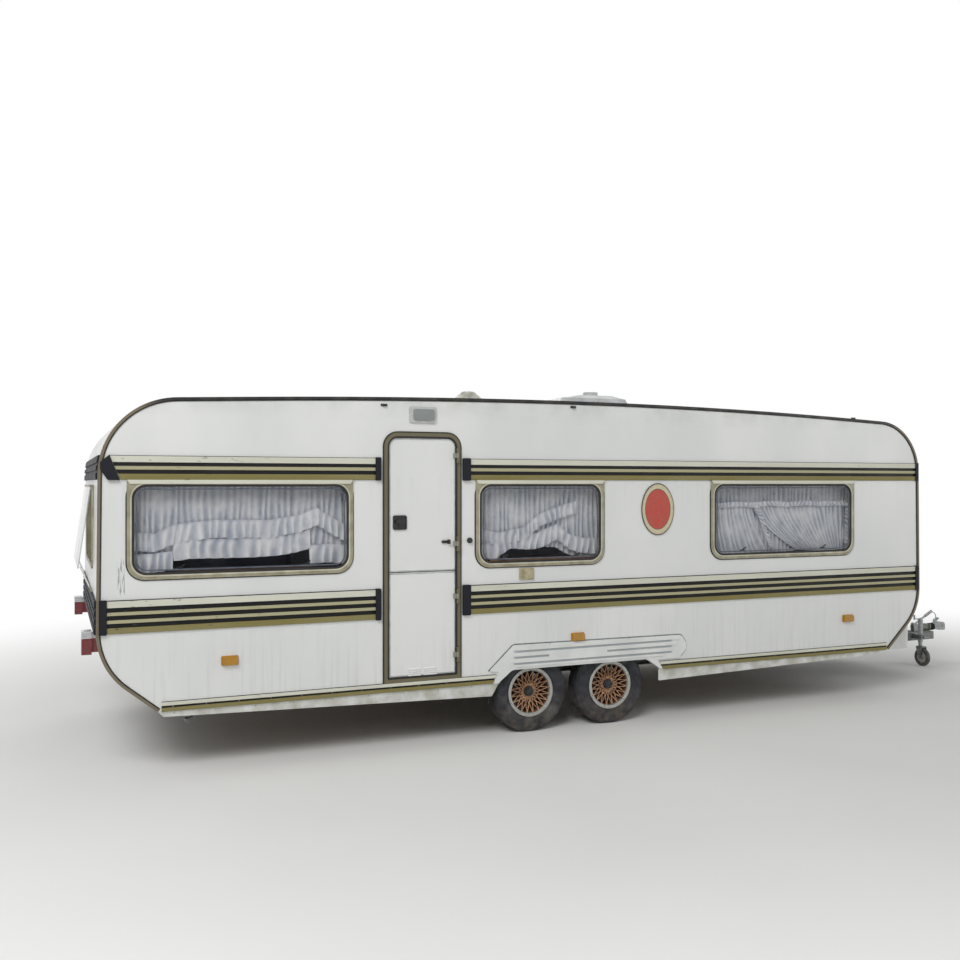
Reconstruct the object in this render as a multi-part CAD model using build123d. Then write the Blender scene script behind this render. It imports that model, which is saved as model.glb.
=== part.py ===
from build123d import *
import os
from math import atan, cos, degrees, radians, sin

os.makedirs("parts", exist_ok=True)

# Travel caravan on a twin axle, in millimetres.
# x is a station counted forward from the rear wall, y is minus on the door side, z is zero on the ground.
# save() puts the origin under the middle of the overall length.

# Driving dimensions
half_width = 1200
wall = 30
sill_z = 397
floor_bottom = 450
floor_top = 490
rear_reach = 90
lamp_reach = 77
coupling_tip = 8540
origin_station = (coupling_tip - rear_reach) / 2

# Body side profile, corner by corner: x, z, corner radius
rear_foot_x = 378
front_foot_x = 6540
rear_knee = (3, 701, 480)
rear_brow = (20, 2403, 500)
roof_crown = (3600, 2545, 60000)
front_brow = (6890, 2390, 450)
front_knee = (6908, 740, 440)
corner_panel_rear = 520
corner_panel_front = 6435

# Wheels and axles
tyre_radius = 298
tyre_half_width = 82.5
rim_radius = 166
rim_flange_radius = 185
wheel_y = 1075.5
wheel_stations = {"rear": 3061, "front": 3747}
stub_radius = 20
running_gap = 0.05
arm_length = 150
arm_y = 950
arm_width = 35

# Arch opening, wheel box and white arch moulding
arch_rear = 2775
arch_front = 4165
arch_top = 487
box_rear = 2700
box_front = 4112
box_inner_y = 925
box_top = 672
box_skin = 8

# Chassis
rail_web_y = 700
rail_flange = 50
rail_bottom = 350
rail_rear = 450
rail_front = 6430
steel = 5
arm_top_z = 395
arm_bottom_z = 300
nose_x = 8330
nose_top_z = 300
nose_bottom_z = 222
nose_inner_y = 12
nose_outer_y = 62

# Windows on each side: name, rear end, front end
window_bays = [("rear", 188, 1665), ("middle", 2588, 3659), ("front", 4652, 6145)]
window_bottom = 1250
window_top = 1889
window_corner = 110
frame_width = 30
frame_rebate = 12
frame_proud = 12
end_window_halves = {"rear": 620, "front": 880}
end_window_bottom = 1280
end_window_top = 1850


# Door
door_rear = 1892
door_front = 2466
door_bottom = 463
door_top = 2223
door_corner = 100
door_frame_width = 32
door_gap = 5
door_split = 1237
hinge_x = 2441
hinge_proud = 22
hinge_pin = 4
hinge_tube = 9
hinge_height = 34
hinge_leaf = 32
hinge_levels = {"upper": (2066, 1431), "lower": (1054, 634)}

# Striped mouldings: z of lower edge, z of upper edge, how far each stands out
upper_ribs = [(1889, 1930, 12), (1950, 1978, 12), (1998, 2044, 12)]
lower_ribs = [(914, 956, 14), (977, 1005, 14), (1027, 1055, 14), (1077, 1127, 14)]
sill_ribs = [(397, 426, 10), (434, 463, 10)]
rib_slope = 4
band_base = 4
cap_proud = 22
end_band_proud = 12


# Overrun coupling at the nose
shaft_z = 342
shaft_radius = 32
housing_rear = 8150
housing_front = 8310
head_rear = 8384
ball_x = 8490
ball_z = 330
ball_radius = 25


# Jockey wheel
jockey_x = 7940
jockey_y = -250
jockey_trail = 25
jockey_wheel_radius = 90
jockey_wheel_half = 24
jockey_crown_low = 186
jockey_crown_high = 196
jockey_stem_low = 201
jockey_stem_high = 415
jockey_stem_radius = 18.6
jockey_pin_radius = 10
jockey_travel = 40
jockey_tube_radius = 24
jockey_tube_low = jockey_crown_high + jockey_travel + 5
jockey_tube_high = 470


# Corner steadies: name, pivot station, which way the leg points, side, how far it hangs below level
steady_table = [
    ("rear_right", 1010, -1, -1, 22),
    ("rear_left", 1010, -1, 1, 6),
    ("front_right", 5960, 1, -1, 6),
    ("front_left", 5960, 1, 1, 6),
]
steady_y = 790
steady_z = 400
steady_length = 450
steady_half = 22
steady_pin = 8

# Drawbar locker
locker_rear = 6914
locker_front = 7425
locker_half = 640
locker_bottom = 275
locker_rear_top = 880
locker_front_top = 760
locker_corner = 110
locker_skin = 6
lid_hinge_x = 6934
lid_hinge_z = 896
lid_knuckle = 8
lid_knuckle_length = 40
lid_pin = 3.5


def outline(rows):
    corners = [(a, b) for a, b, radius in rows]
    radii = [radius for a, b, radius in rows]
    return make_face(FilletPolyline(*corners, radius=radii, close=True))


def zone(a_low, b_low, a_high, b_high):
    centre = Pos((a_low + a_high) / 2, (b_low + b_high) / 2)
    return centre * Rectangle(a_high - a_low, b_high - b_low)


def rounded(a_low, b_low, a_high, b_high, radius):
    centre = Pos((a_low + a_high) / 2, (b_low + b_high) / 2)
    return centre * RectangleRounded(a_high - a_low, b_high - b_low, radius)


def across(sketch, y_from, y_to):
    return extrude(Plane.XZ.offset(-y_to) * sketch, amount=y_to - y_from)


def along(sketch, x_from, x_to):
    return extrude(Plane.YZ.offset(x_from) * sketch, amount=x_to - x_from)


def upright(sketch, z_from, z_to):
    return extrude(Plane.XY.offset(z_from) * sketch, amount=z_to - z_from)


def on_side(sketch, side, inner, outer):
    low, high = sorted((side * inner, side * outer))
    return across(sketch, low, high)


def rod(start, end, radius):
    axis = Vector(*end) - Vector(*start)
    plane = Plane(origin=start, z_dir=axis)
    return extrude(plane * Circle(radius), amount=axis.length)


def save(node, *shapes):
    solids = [solid for shape in shapes for solid in shape.solids()]
    whole = solids[0] if len(solids) == 1 else Compound(solids)
    export_step(whole.moved(Location((-origin_station, 0, 0))), "parts/" + node + ".step")


# Body profile and its hollow

body_profile = outline([
    (rear_foot_x, sill_z, 0),
    rear_knee,
    rear_brow,
    roof_crown,
    front_brow,
    front_knee,
    (front_foot_x, sill_z, 0),
])
hollow_profile = offset(body_profile, -wall)
shell_ring = body_profile - hollow_profile
inside = half_width - wall
body_solid = across(body_profile, -half_width, half_width)


def window_outline(rear, front, inset):
    bottom = window_bottom + inset
    top = window_top - inset
    low_radius = window_corner - inset * 0.5
    high_radius = 12 + inset * 2
    return outline([
        (rear + inset, bottom, low_radius),
        (front - inset, bottom, low_radius),
        (front - inset, top, high_radius),
        (rear + inset, top, high_radius),
    ])


def door_outline(inset, bottom=None, top=None):
    low = door_bottom + inset if bottom is None else bottom
    high = door_top - inset if top is None else top
    corner = door_corner - inset if top is None else 0
    return outline([
        (door_rear + inset, low, 0),
        (door_front - inset, low, 0),
        (door_front - inset, high, corner),
        (door_rear + inset, high, corner),
    ])


arch_opening = outline([
    (arch_rear, sill_z - 200, 0),
    (arch_rear, 405, 0),
    (2880, arch_top, 60),
    (4045, arch_top, 60),
    (arch_front, 405, 0),
    (arch_front, sill_z - 200, 0),
])


# Side walls

for side, name in ((-1, "right"), (1, "left")):
    panel = body_profile - arch_opening
    for bay, rear, front in window_bays:
        panel -= window_outline(rear, front, frame_rebate)
    if side < 0:
        panel -= door_outline(10, bottom=door_bottom)
    save("wall_" + name, on_side(panel, side, inside, half_width))


# Roof, front and rear panels

roof_hatch = (3790, 4390, 300)
roof_strip = shell_ring & zone(corner_panel_rear, 2300, corner_panel_front, 2700)
roof_panel = across(roof_strip, -inside, inside)
roof_panel -= upright(zone(roof_hatch[0], -roof_hatch[2], roof_hatch[1], roof_hatch[2]), 2300, 2700)
save("roof_panel", roof_panel)


def end_rect(name, inset):
    half = end_window_halves[name] - inset
    return rounded(-half, end_window_bottom + inset, half, end_window_top - inset, 90 - inset)


foot_top = 440
rear_strip = shell_ring & zone(-50, sill_z, corner_panel_rear, 2600)
rear_strip -= zone(430, sill_z - 10, 600, foot_top)
rear_hole = along(end_rect("rear", frame_rebate), -60, 120)
save("rear_wall", across(rear_strip, -inside, inside) - rear_hole)

front_strip = shell_ring & zone(corner_panel_front, sill_z, 7000, 2600)
front_strip -= zone(6400, sill_z - 10, 6490, foot_top)
front_hole = along(end_rect("front", frame_rebate), 6800, 6950)
save("front_wall", across(front_strip, -inside, inside) - front_hole)


# Floor with its two wheel boxes

floor_strip = hollow_profile & zone(-50, floor_bottom, 7000, floor_top)
floor_panel = across(floor_strip, -inside, inside)
for side in (-1, 1):
    floor_panel -= on_side(zone(box_rear, 300, box_front, 600), side, box_inner_y, half_width)
save("floor_panel", floor_panel)

wheel_boxes = []
outer_box = zone(box_rear, floor_bottom, box_front, box_top)
inner_box = zone(box_rear + box_skin, floor_bottom, box_front - box_skin, box_top - box_skin)
for side in (-1, 1):
    wheel_box = on_side(outer_box, side, box_inner_y, inside)
    wheel_boxes.append(wheel_box - on_side(inner_box, side, box_inner_y + box_skin, inside))
save("wheel_boxes", *wheel_boxes)


# Side windows: a flanged frame, a pane and the slanted rail above it

pane_inner = half_width - 8
pane_outer = half_width + 6
rail_proud = 20
rail_slant = 18

frames = []
panes = []
window_rails = {-1: [], 1: []}
for side in (-1, 1):
    for bay, rear, front in window_bays:
        outer = window_outline(rear, front, 0)
        rebate = window_outline(rear, front, frame_rebate)
        inner = window_outline(rear, front, frame_width)
        frame = on_side(outer - inner, side, half_width, half_width + frame_proud)
        frames.append(frame + on_side(rebate - inner, side, inside, half_width))
        panes.append(on_side(inner, side, pane_inner, pane_outer))
        rail_face = outline([
            (rear - 3, window_top + 8, 0),
            (front + 3, window_top + 8, 0),
            (front - rail_slant, window_top - 26, 0),
            (rear + rail_slant, window_top - 26, 0),
        ])
        rail = on_side(rail_face, side, half_width + frame_proud, half_width + rail_proud)
        window_rails[side].append(rail)


# End windows: the rear pane hangs from its top edge and is held ajar by two flat stays

end_walls = {"rear": (rear_knee, rear_brow, -1), "front": (front_knee, front_brow, 1)}
pane_hook_z = end_window_top - 10
pane_foot_z = 1290
pane_thick = 8
for name, (low, high, way) in end_walls.items():
    lean = (high[0] - low[0]) / (high[1] - low[1])
    face_x = low[0] + lean * ((end_window_bottom + end_window_top) / 2 - low[1])
    flange_from, flange_to = sorted((face_x, face_x + way * frame_proud))
    sleeve_from, sleeve_to = sorted((face_x, face_x - way * wall))
    opening = end_rect(name, frame_width)
    frame = along(end_rect(name, 0) - opening, flange_from, flange_to) - body_solid
    frame += along(end_rect(name, frame_rebate) - opening, sleeve_from, sleeve_to)
    if way > 0:
        panes.append(along(opening, face_x - 8, face_x + 6))
    else:
        half = end_window_halves[name]
        hook_x = face_x - frame_proud
        hook = zone(hook_x - 12, pane_hook_z, hook_x + 2, end_window_top + 6)
        frame += across(hook, -half + 60, half - 60)
        pane_side = outline([
            (hook_x - 2, pane_hook_z, 0),
            (hook_x - 2 - pane_thick, pane_hook_z, 0),
            (-rear_reach, pane_foot_z, 0),
            (-rear_reach + pane_thick, pane_foot_z - 2, 0),
        ])
        panes.append(across(pane_side, -half + 4, half - 4))
    frames.append(frame)
save("window_panes", *panes)

stay_foot = (8, 1112)
stay_head = (-rear_reach + 12, pane_foot_z + 10)
stay_width = 20
stay_side = outline([
    (stay_foot[0], stay_foot[1] - 12, 0),
    (stay_foot[0], stay_foot[1] + 14, 0),
    (stay_head[0] + 10, stay_head[1], 0),
    (stay_head[0], stay_head[1], 0),
])
end_band_reach = half_width - 6
band_skin = offset(body_profile, band_base) - body_profile
rib_skin = offset(body_profile, end_band_proud) - body_profile
end_bands = []
for x_from, x_to in ((-60, 200), (6750, 6960)):
    for ribs in (upper_ribs, lower_ribs):
        band_face = band_skin & zone(x_from, ribs[0][0], x_to, ribs[-1][1])
        for rib_low, rib_high, proud in ribs:
            band_face += rib_skin & zone(x_from, rib_low, x_to, rib_high)
        end_bands.append(across(band_face, -end_band_reach, end_band_reach))
rear_lower_band = end_bands[1]
for side in (-1, 1):
    stay_y = end_window_halves["rear"] - 45
    stay = on_side(stay_side, side, stay_y, stay_y + stay_width)
    frames.append(stay - body_solid - rear_lower_band)
save("window_frames", *frames)


# Striped mouldings along both sides, extruded from one ribbed section and cut off at a slant

def ribbed_section(ribs, side):
    points = [(half_width, ribs[0][0])]
    for rib_low, rib_high, proud in ribs:
        points.append((half_width + band_base, rib_low))
        points.append((half_width + proud, rib_low + rib_slope))
        points.append((half_width + proud, rib_high - rib_slope))
        points.append((half_width + band_base, rib_high))
    points.append((half_width, ribs[-1][1]))
    return outline([(side * y, z, 0) for y, z in points])


def ribbed_strip(ribs, side, rear_low, rear_high, front_low, front_high):
    bottom = ribs[0][0]
    top = ribs[-1][1]
    rear = min(rear_low, rear_high)
    front = max(front_low, front_high)
    strip = along(ribbed_section(ribs, side), rear, front)
    face = outline([
        (rear_low, bottom, 0),
        (front_low, bottom, 0),
        (front_high, top, 0),
        (rear_high, top, 0),
    ])
    return strip & on_side(face, side, half_width - 1, half_width + 40)


# Station of each strip's ends: rear low, rear high, front low, front high
door_cap_rear = (1826, 1867)
door_cap_front = (2484, 2545)
band_front = 6850
band_after_door = (door_cap_front[1], door_cap_front[1], band_front, band_front)
upper_runs = {
    -1: [(150, 86, door_cap_rear[0], door_cap_rear[0]), band_after_door],
    1: [(150, 86, band_front, band_front)],
}
lower_runs = {
    -1: [(70, 70, door_cap_rear[0], door_cap_rear[0]), band_after_door],
    1: [(70, 70, band_front, band_front)],
}
sill_runs = [(400, 400, 2722, 2752), (4198, 4158, 6520, 6520)]
upper_bands = []
lower_bands = []
sill_trim = []
for side in (-1, 1):
    for run in upper_runs[side]:
        upper_band = ribbed_strip(upper_ribs, side, *run)
        for rail in window_rails[side]:
            if run[0] < rail.center().X < run[2]:
                upper_band += rail
        upper_bands.append(upper_band)
    for run in lower_runs[side]:
        lower_bands.append(ribbed_strip(lower_ribs, side, *run))
    for run in sill_runs:
        sill_trim.append(ribbed_strip(sill_ribs, side, *run))
save("band_upper", *upper_bands)
save("band_lower", *lower_bands)
save("trim_sill", *sill_trim)


# Caps that close the strips, and the ribbed bands across both ends of the body

rear_upper_cap = outline([(30, 1955, 0), (76, 1886, 0), (147, 1886, 0), (84, 2046, 0), (30, 2000, 0)])
rear_lower_cap = rounded(22, 911, 69, 1130, 6)
cap_faces = {-1: [], 1: []}
for low, high in ((upper_ribs[0][0], upper_ribs[-1][1]), (lower_ribs[0][0], lower_ribs[-1][1])):
    front_cap = rounded(band_front + 1, low - 3, 6882, high + 3, 6)
    for side in (-1, 1):
        cap_faces[side].append(front_cap)
    cap_faces[-1].append(rounded(door_cap_rear[0] + 1, low - 4, door_cap_rear[1], high + 4, 8))
    cap_faces[-1].append(rounded(door_cap_front[0], low - 4, door_cap_front[1] - 1, high + 4, 8))
end_caps = []
for side in (-1, 1):
    for face in [rear_upper_cap, rear_lower_cap] + cap_faces[side]:
        end_caps.append(on_side(face & body_profile, side, half_width, half_width + cap_proud))
save("band_caps", *end_caps, *end_bands)


# Edge rail round both side walls and skirts below the sill

rail_width = 18
rail_stand = 10
seal_width = 27
seal_stand = 4
rail_ring = body_profile - offset(body_profile, -rail_width)
seal_ring = body_profile - offset(body_profile, -seal_width)
below_rail = zone(300, sill_z - 5, 6600, sill_z + 70)
edge_rails = []
for side in (-1, 1):
    rail = on_side(rail_ring - below_rail, side, half_width, half_width + rail_stand)
    rail += on_side(seal_ring - below_rail, side, half_width, half_width + seal_stand)
    for cap in end_caps:
        rail -= cap
    edge_rails.append(rail)
save("edge_rails", *edge_rails)

skirt_rows = [
    [(378, sill_z), (413, 363), (2720, 304), (arch_rear, sill_z)],
    [(arch_front - 5, sill_z), (arch_front - 5, 308), (6330, 363), (6540, sill_z)],
]
skirts = []
for side in (-1, 1):
    for rows in skirt_rows:
        face = outline([(x, z, 0) for x, z in rows])
        skirts.append(on_side(face, side, half_width - 12, half_width - 4))
save("skirts", *skirts)


# Arch moulding: one formed sheet with three long raised fields above the wheels

moulding_proud = 10
field_proud = 18
moulding = outline([
    (2735, 417, 0),
    (2765, 482, 0),
    (2690, 487, 8),
    (2889, 669, 30),
    (4364, 659, 45),
    (4411, 594, 35),
    (4411, 550, 30),
    (4344, 476, 10),
    (4140, 478, 0),
    (4186, 409, 0),
    (arch_front - 20, 405, 0),
    (arch_front - 20, 300, 0),
    (arch_rear - 20, 300, 0),
])

# Raised fields: z of lower edge, z of upper edge, rear end, front end
moulding_fields = [(584, 612, 2900, 4330), (538, 568, 2862, 4280), (505, 522, 2900, 4225)]
moulding_crown = (628, 652, 2925, 4352)
bare_panel = (3180, 538, 3680, 612)
field_lean = 1.09
arch_moulding = []
for side in (-1, 1):
    plate = (moulding & zone(2600, sill_z, 4500, 700)) - arch_opening
    piece = on_side(plate, side, half_width, half_width + moulding_proud)
    for low, high, rear, front in moulding_fields + [moulding_crown]:
        field = outline([
            (rear, low, 4),
            (front - 20, low, 4),
            (front, high, 4),
            (rear + (high - low) * field_lean, high, 4),
        ])
        piece += on_side(field, side, half_width, half_width + field_proud)
    piece += on_side(zone(*bare_panel), side, half_width, half_width + field_proud)
    arch_moulding.append(piece)
save("arch_mouldings", *arch_moulding)


# Door frame with its hinge knuckles, and the two door leaves

door_ring = door_outline(0) - door_outline(door_frame_width)
door_frame = on_side(door_ring, -1, half_width, half_width + 10)
sleeve_ring = door_outline(10, bottom=door_bottom)
sleeve_ring -= door_outline(door_frame_width)
door_frame += on_side(sleeve_ring, -1, inside, half_width)
hinge_y = -(half_width + hinge_proud)


def hinge_tube_at(middle_z, height):
    return Pos(hinge_x, hinge_y, middle_z) * Cylinder(hinge_tube, height)


leaf_inset = door_frame_width + door_gap
leaf_upper = on_side(door_outline(leaf_inset, bottom=door_split + 3), -1, inside, half_width)
leaf_lower = on_side(door_outline(leaf_inset, top=door_split - 3), -1, inside, half_width)
leaf_parts = {"upper": leaf_upper, "lower": leaf_lower}
for leaf, levels in hinge_levels.items():
    for level in levels:
        for step in (-1, 1):
            knuckle = hinge_tube_at(level + step * (hinge_height + 1), hinge_height)
            strap = zone(hinge_x, hinge_y - 5, hinge_x + 18, -half_width)
            height_from = level + step * (hinge_height + 1) - hinge_height / 2
            door_frame += knuckle + upright(strap, height_from, height_from + hinge_height)
        door_frame += Pos(hinge_x, hinge_y, level) * Cylinder(hinge_pin, hinge_height * 3)
        middle = hinge_tube_at(level, hinge_height)
        leaf_strap = zone(hinge_x - hinge_leaf, hinge_y + 2, hinge_x, hinge_y + 7)
        leaf_strap += zone(hinge_x - hinge_leaf, hinge_y + 2, door_front - leaf_inset, -half_width)
        middle += upright(leaf_strap, level - hinge_height / 2, level + hinge_height / 2)
        leaf_parts[leaf] += middle - Pos(hinge_x, hinge_y, level) * Cylinder(hinge_pin + 0.3, 60)

# Two vents of four sloping louvres low in the door

louvre_fields = [(2070, 2162), (2185, 2284)]
louvre_low = 484
louvre_pitch = 14
louvre_proud = 8
for rear, front in louvre_fields:
    for row in range(4):
        z = louvre_low + row * louvre_pitch
        slat = outline([
            (-half_width, z + 30, 0),
            (-half_width - louvre_proud, z + 20, 0),
            (-half_width - louvre_proud, z + 18, 0),
            (-half_width, z + 18, 0),
        ])
        leaf_parts["lower"] += along(slat, rear, front)
save("door_frame", door_frame)
save("door_upper", leaf_parts["upper"])
save("door_lower", leaf_parts["lower"])


# Lock with its sunk plate, grip and key barrel, and the catch that holds the open leaf

lock_x = 2007
lock_z = 1589
lock_half = 51
lock_lip = 8
lock_low = lock_z - lock_half
lock_high = lock_z + lock_half
lock_rim = rounded(lock_x - lock_half, lock_low, lock_x + lock_half, lock_high, 14)
lock_dish = rounded(lock_x - lock_half + lock_lip, lock_low + lock_lip,
                    lock_x + lock_half - lock_lip, lock_high - lock_lip, 9)
lock_plate = on_side(lock_rim, -1, half_width, half_width + 10)
lock_plate -= on_side(lock_dish, -1, half_width + 7, half_width + 12)
lock_plate += on_side(Pos(lock_x, lock_z + 8) * Ellipse(36, 15), -1, half_width, half_width + 24)
lock_plate += on_side(Pos(lock_x, lock_z - 27) * Circle(9), -1, half_width, half_width + 13)
door_hook = on_side(rounded(2324, 1436, 2383, 1456, 5), -1, half_width, half_width + 10)
door_hook += on_side(rounded(2368, 1430, 2383, 1462, 4), -1, half_width, half_width + 26)
save("door_lock", lock_plate, door_hook)


# Lamps, service cover and bare plaque

marker_stations = (830, 3430, 6079)
marker_z = 699
amber = []
for side in (-1, 1):
    for middle in marker_stations:
        base = rounded(middle - 56, marker_z - 32, middle + 56, marker_z + 32, 10)
        lens = rounded(middle - 50, marker_z - 26, middle + 50, marker_z + 26, 8)
        amber.append(on_side(base, side, half_width, half_width + 8)
                     + on_side(lens, side, half_width, half_width + 28))
save("marker_lamps", *amber)

# Porch lamp: housing box, then lens box
porch = on_side(rounded(2076, 2296, 2279, 2410, 12), -1, half_width, half_width + 14)
porch += on_side(rounded(2104, 2316, 2262, 2392, 16), -1, half_width, half_width + 25)
save("porch_lamp", porch)

rear_lamps = []
for side in (-1, 1):
    low, high = sorted((side * 1005, side * 1125))
    lens = along(rounded(low, 779, high, 928, 14), -lamp_reach, -16)
    foot = along(rounded(low + 14, 793, high - 14, 914, 10), -16, 60)
    rear_lamps.append(lens + (foot - body_solid))
save("rear_lamps", *rear_lamps)

cover = on_side(rounded(2937, 1150, 3058, 1236, 8), -1, half_width, half_width + 10)
cover += on_side(rounded(2984, 1158, 3050, 1228, 6), -1, half_width, half_width + 18)
cover -= on_side(rounded(2947, 1162, 2974, 1224, 4), -1, half_width + 4, half_width + 12)
save("service_cover", cover)

plaque_place = Pos(4147, 1662)
plaque_edge = Ellipse(150, 205) - Ellipse(139, 194)
plaque = on_side(plaque_place * Ellipse(150, 205), -1, half_width, half_width + 5)
plaque += on_side(plaque_place * plaque_edge, -1, half_width, half_width + 8)
save("side_plaque", plaque)


# Roof light and roof vent

light_outer = rounded(3731, -350, 4444, 350, 60)
light_inner = zone(roof_hatch[0], -roof_hatch[2], roof_hatch[1], roof_hatch[2])
light_rim_z = 2560
light_frame = upright(light_outer - light_inner, 2440, light_rim_z) - body_solid
save("roof_light_frame", light_frame)
dome_base = Plane.XY.offset(light_rim_z) * rounded(3760, -322, 4438, 322, 50)
dome_shoulder = Plane.XY.offset(2605) * rounded(3790, -300, 4424, 300, 50)
dome_crown = Plane.XY.offset(2640) * rounded(3990, -210, 4340, 210, 40)
dome = loft([dome_base.faces()[0], dome_shoulder.faces()[0]])
dome += loft([dome_shoulder.faces()[0], dome_crown.faces()[0]])
dome_cap_x = 4218
dome += Pos(dome_cap_x, 0, 2655) * Cylinder(66, 56)
save("roof_light_dome", dome)

vent_x = 3023
vent_hat_z = 2578
vent = upright(Pos(vent_x, 0) * Circle(95), 2440, vent_hat_z) - body_solid
vent_profile = outline([
    (0, vent_hat_z, 0),
    (122, vent_hat_z, 0),
    (122, vent_hat_z + 8, 6),
    (52, 2648, 20),
    (0, 2654, 0),
])
vent += Pos(vent_x, 0, 0) * revolve(Plane.XZ * vent_profile, Axis.Z)
save("roof_vent", vent)


# Chassis rails, cross members and the tapered drawbar

rails = []
for side in (-1, 1):
    web = zone(side * rail_web_y - steel * (side < 0), rail_bottom, side * rail_web_y + steel * (side > 0),
               floor_bottom)
    edges = sorted((side * rail_web_y, side * (rail_web_y + rail_flange)))
    top = zone(edges[0], floor_bottom - steel, edges[1], floor_bottom)
    foot = zone(edges[0], rail_bottom, edges[1], rail_bottom + steel)
    rails.append(along(web + top + foot, rail_rear, rail_front))
save("chassis_rails", *rails)

cross_stations = (520, 2480, 4500, 6380)
cross_members = []
for station in cross_stations:
    section = zone(station - 25, arm_top_z, station + 25, floor_bottom)
    cross_members.append(across(section, -rail_web_y, rail_web_y))
save("cross_members", *cross_members)

bend_x = 6050
arm_side = outline([
    (5600, arm_bottom_z, 0),
    (6900, arm_bottom_z, 0),
    (nose_x, nose_bottom_z, 0),
    (nose_x, nose_top_z, 0),
    (nose_x - 210, nose_top_z, 0),
    (7430, arm_top_z, 0),
    (5600, arm_top_z, 0),
])
arm_profile = across(arm_side, -rail_web_y, rail_web_y)


def arm_outer_y(x):
    share = (x - bend_x) / (nose_x - bend_x)
    return rail_web_y + (nose_outer_y - rail_web_y) * share


drawbar = []
for side in (-1, 1):
    plan = outline([
        (5600, side * rail_web_y, 0),
        (bend_x, side * rail_web_y, 0),
        (nose_x, side * nose_outer_y, 0),
        (nose_x, side * nose_inner_y, 0),
        (bend_x, side * (rail_web_y - 50), 0),
        (5600, side * (rail_web_y - 50), 0),
    ])
    drawbar.append(upright(plan, 200, 420) & arm_profile)
right_arm, left_arm = drawbar


# The jockey wheel's clamp is welded to the right arm and grips the outer tube

clamp_low = 268
clamp_high = 316
clamp_root = arm_outer_y(jockey_x) - 12
clamp = upright(zone(jockey_x - 30, jockey_y - 36, jockey_x + 30, -clamp_root), clamp_low, clamp_high)
clamp += rod((jockey_x, jockey_y - 30, 292), (jockey_x, jockey_y - 78, 292), 7)
clamp += rod((jockey_x - 34, jockey_y - 74, 292), (jockey_x + 34, jockey_y - 74, 292), 6)
clamp -= upright(Pos(jockey_x, jockey_y) * Circle(jockey_tube_radius), 200, 400)
save("drawbar_arms", right_arm + clamp, left_arm)


# Twin axles on trailing links, with brake plates and stub shafts

beam_z = 288
beam_half = 40
brake_plate_radius = 105
for name, station in wheel_stations.items():
    beam_x = station + arm_length
    beam = across(zone(beam_x - beam_half, beam_z - beam_half, beam_x + beam_half, beam_z + beam_half),
                  -arm_y, arm_y)
    for side in (-1, 1):
        link = Pos(beam_x, beam_z) * Circle(46) + Pos(station, tyre_radius) * Circle(34)
        link += outline([
            (beam_x, beam_z - 46, 0),
            (beam_x, beam_z + 46, 0),
            (station, tyre_radius + 34, 0),
            (station, tyre_radius - 34, 0),
        ])
        arm_face_y = arm_y + arm_width
        beam += on_side(link, side, arm_y, arm_face_y)
        brake_plate = Pos(station, tyre_radius) * Circle(brake_plate_radius)
        beam += on_side(brake_plate, side, arm_face_y, arm_face_y + 4)
        beam += on_side(Pos(station, tyre_radius) * Circle(stub_radius), side, arm_y, wheel_y)
        seat = zone(beam_x - 60, beam_z + beam_half - 5, beam_x + 60, rail_bottom)
        beam += on_side(seat, side, rail_web_y, rail_web_y + rail_flange)
    save("axle_" + name, beam)


# Tyres

tyre_section = outline([
    (-64, rim_radius, 0),
    (-66, 195, 10),
    (-tyre_half_width, 232, 25),
    (-74, 285, 18),
    (-58, tyre_radius, 10),
    (58, tyre_radius, 10),
    (74, 285, 18),
    (tyre_half_width, 232, 25),
    (66, 195, 10),
    (64, rim_radius, 0),
])
wheel_axis = Axis((0, 0, 0), (0, 1, 0))
tyre = revolve(Plane.YZ * tyre_section, wheel_axis)


# Cross-lattice wheels: straight bars lean both ways between hub and lip and form one dished net

barrel_section = outline([
    (-73, 150, 0),
    (-73, rim_flange_radius, 2),
    (-67, rim_flange_radius, 2),
    (-67, rim_radius - 0.3, 0),
    (67, rim_radius - 0.3, 0),
    (67, rim_flange_radius, 2),
    (73, rim_flange_radius, 2),
    (73, 162, 3),
    (60, 157, 0),
])
lattice_pairs = 20
lattice_inner = 54
lattice_outer = 158
lattice_bar = 6.5
lattice_lean = 1.5
lattice_depth = 13
hub_y = 30
lip_y = 63
boss_count = 10
boss_circle = 47


def lattice_sketch():
    pitch = 360 / lattice_pairs
    bars = Sketch()
    for turn in (-1, 1):
        lean = radians(turn * pitch * lattice_lean)
        start = Vector(lattice_inner, 0)
        end = Vector(lattice_outer * cos(lean), lattice_outer * sin(lean))
        span = end - start
        middle = (start + end) * 0.5
        bar = Pos(middle.X, middle.Y) * Rot(0, 0, degrees(atan(span.Y / span.X)))
        bar = bar * Rectangle(span.length, lattice_bar)
        for index in range(lattice_pairs):
            bars += Rot(0, 0, index * pitch) * bar
    return bars & Circle(lattice_outer)


def wheel_disc(radius, inner, outer):
    return on_side(Circle(radius), 1, inner, outer)


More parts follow.
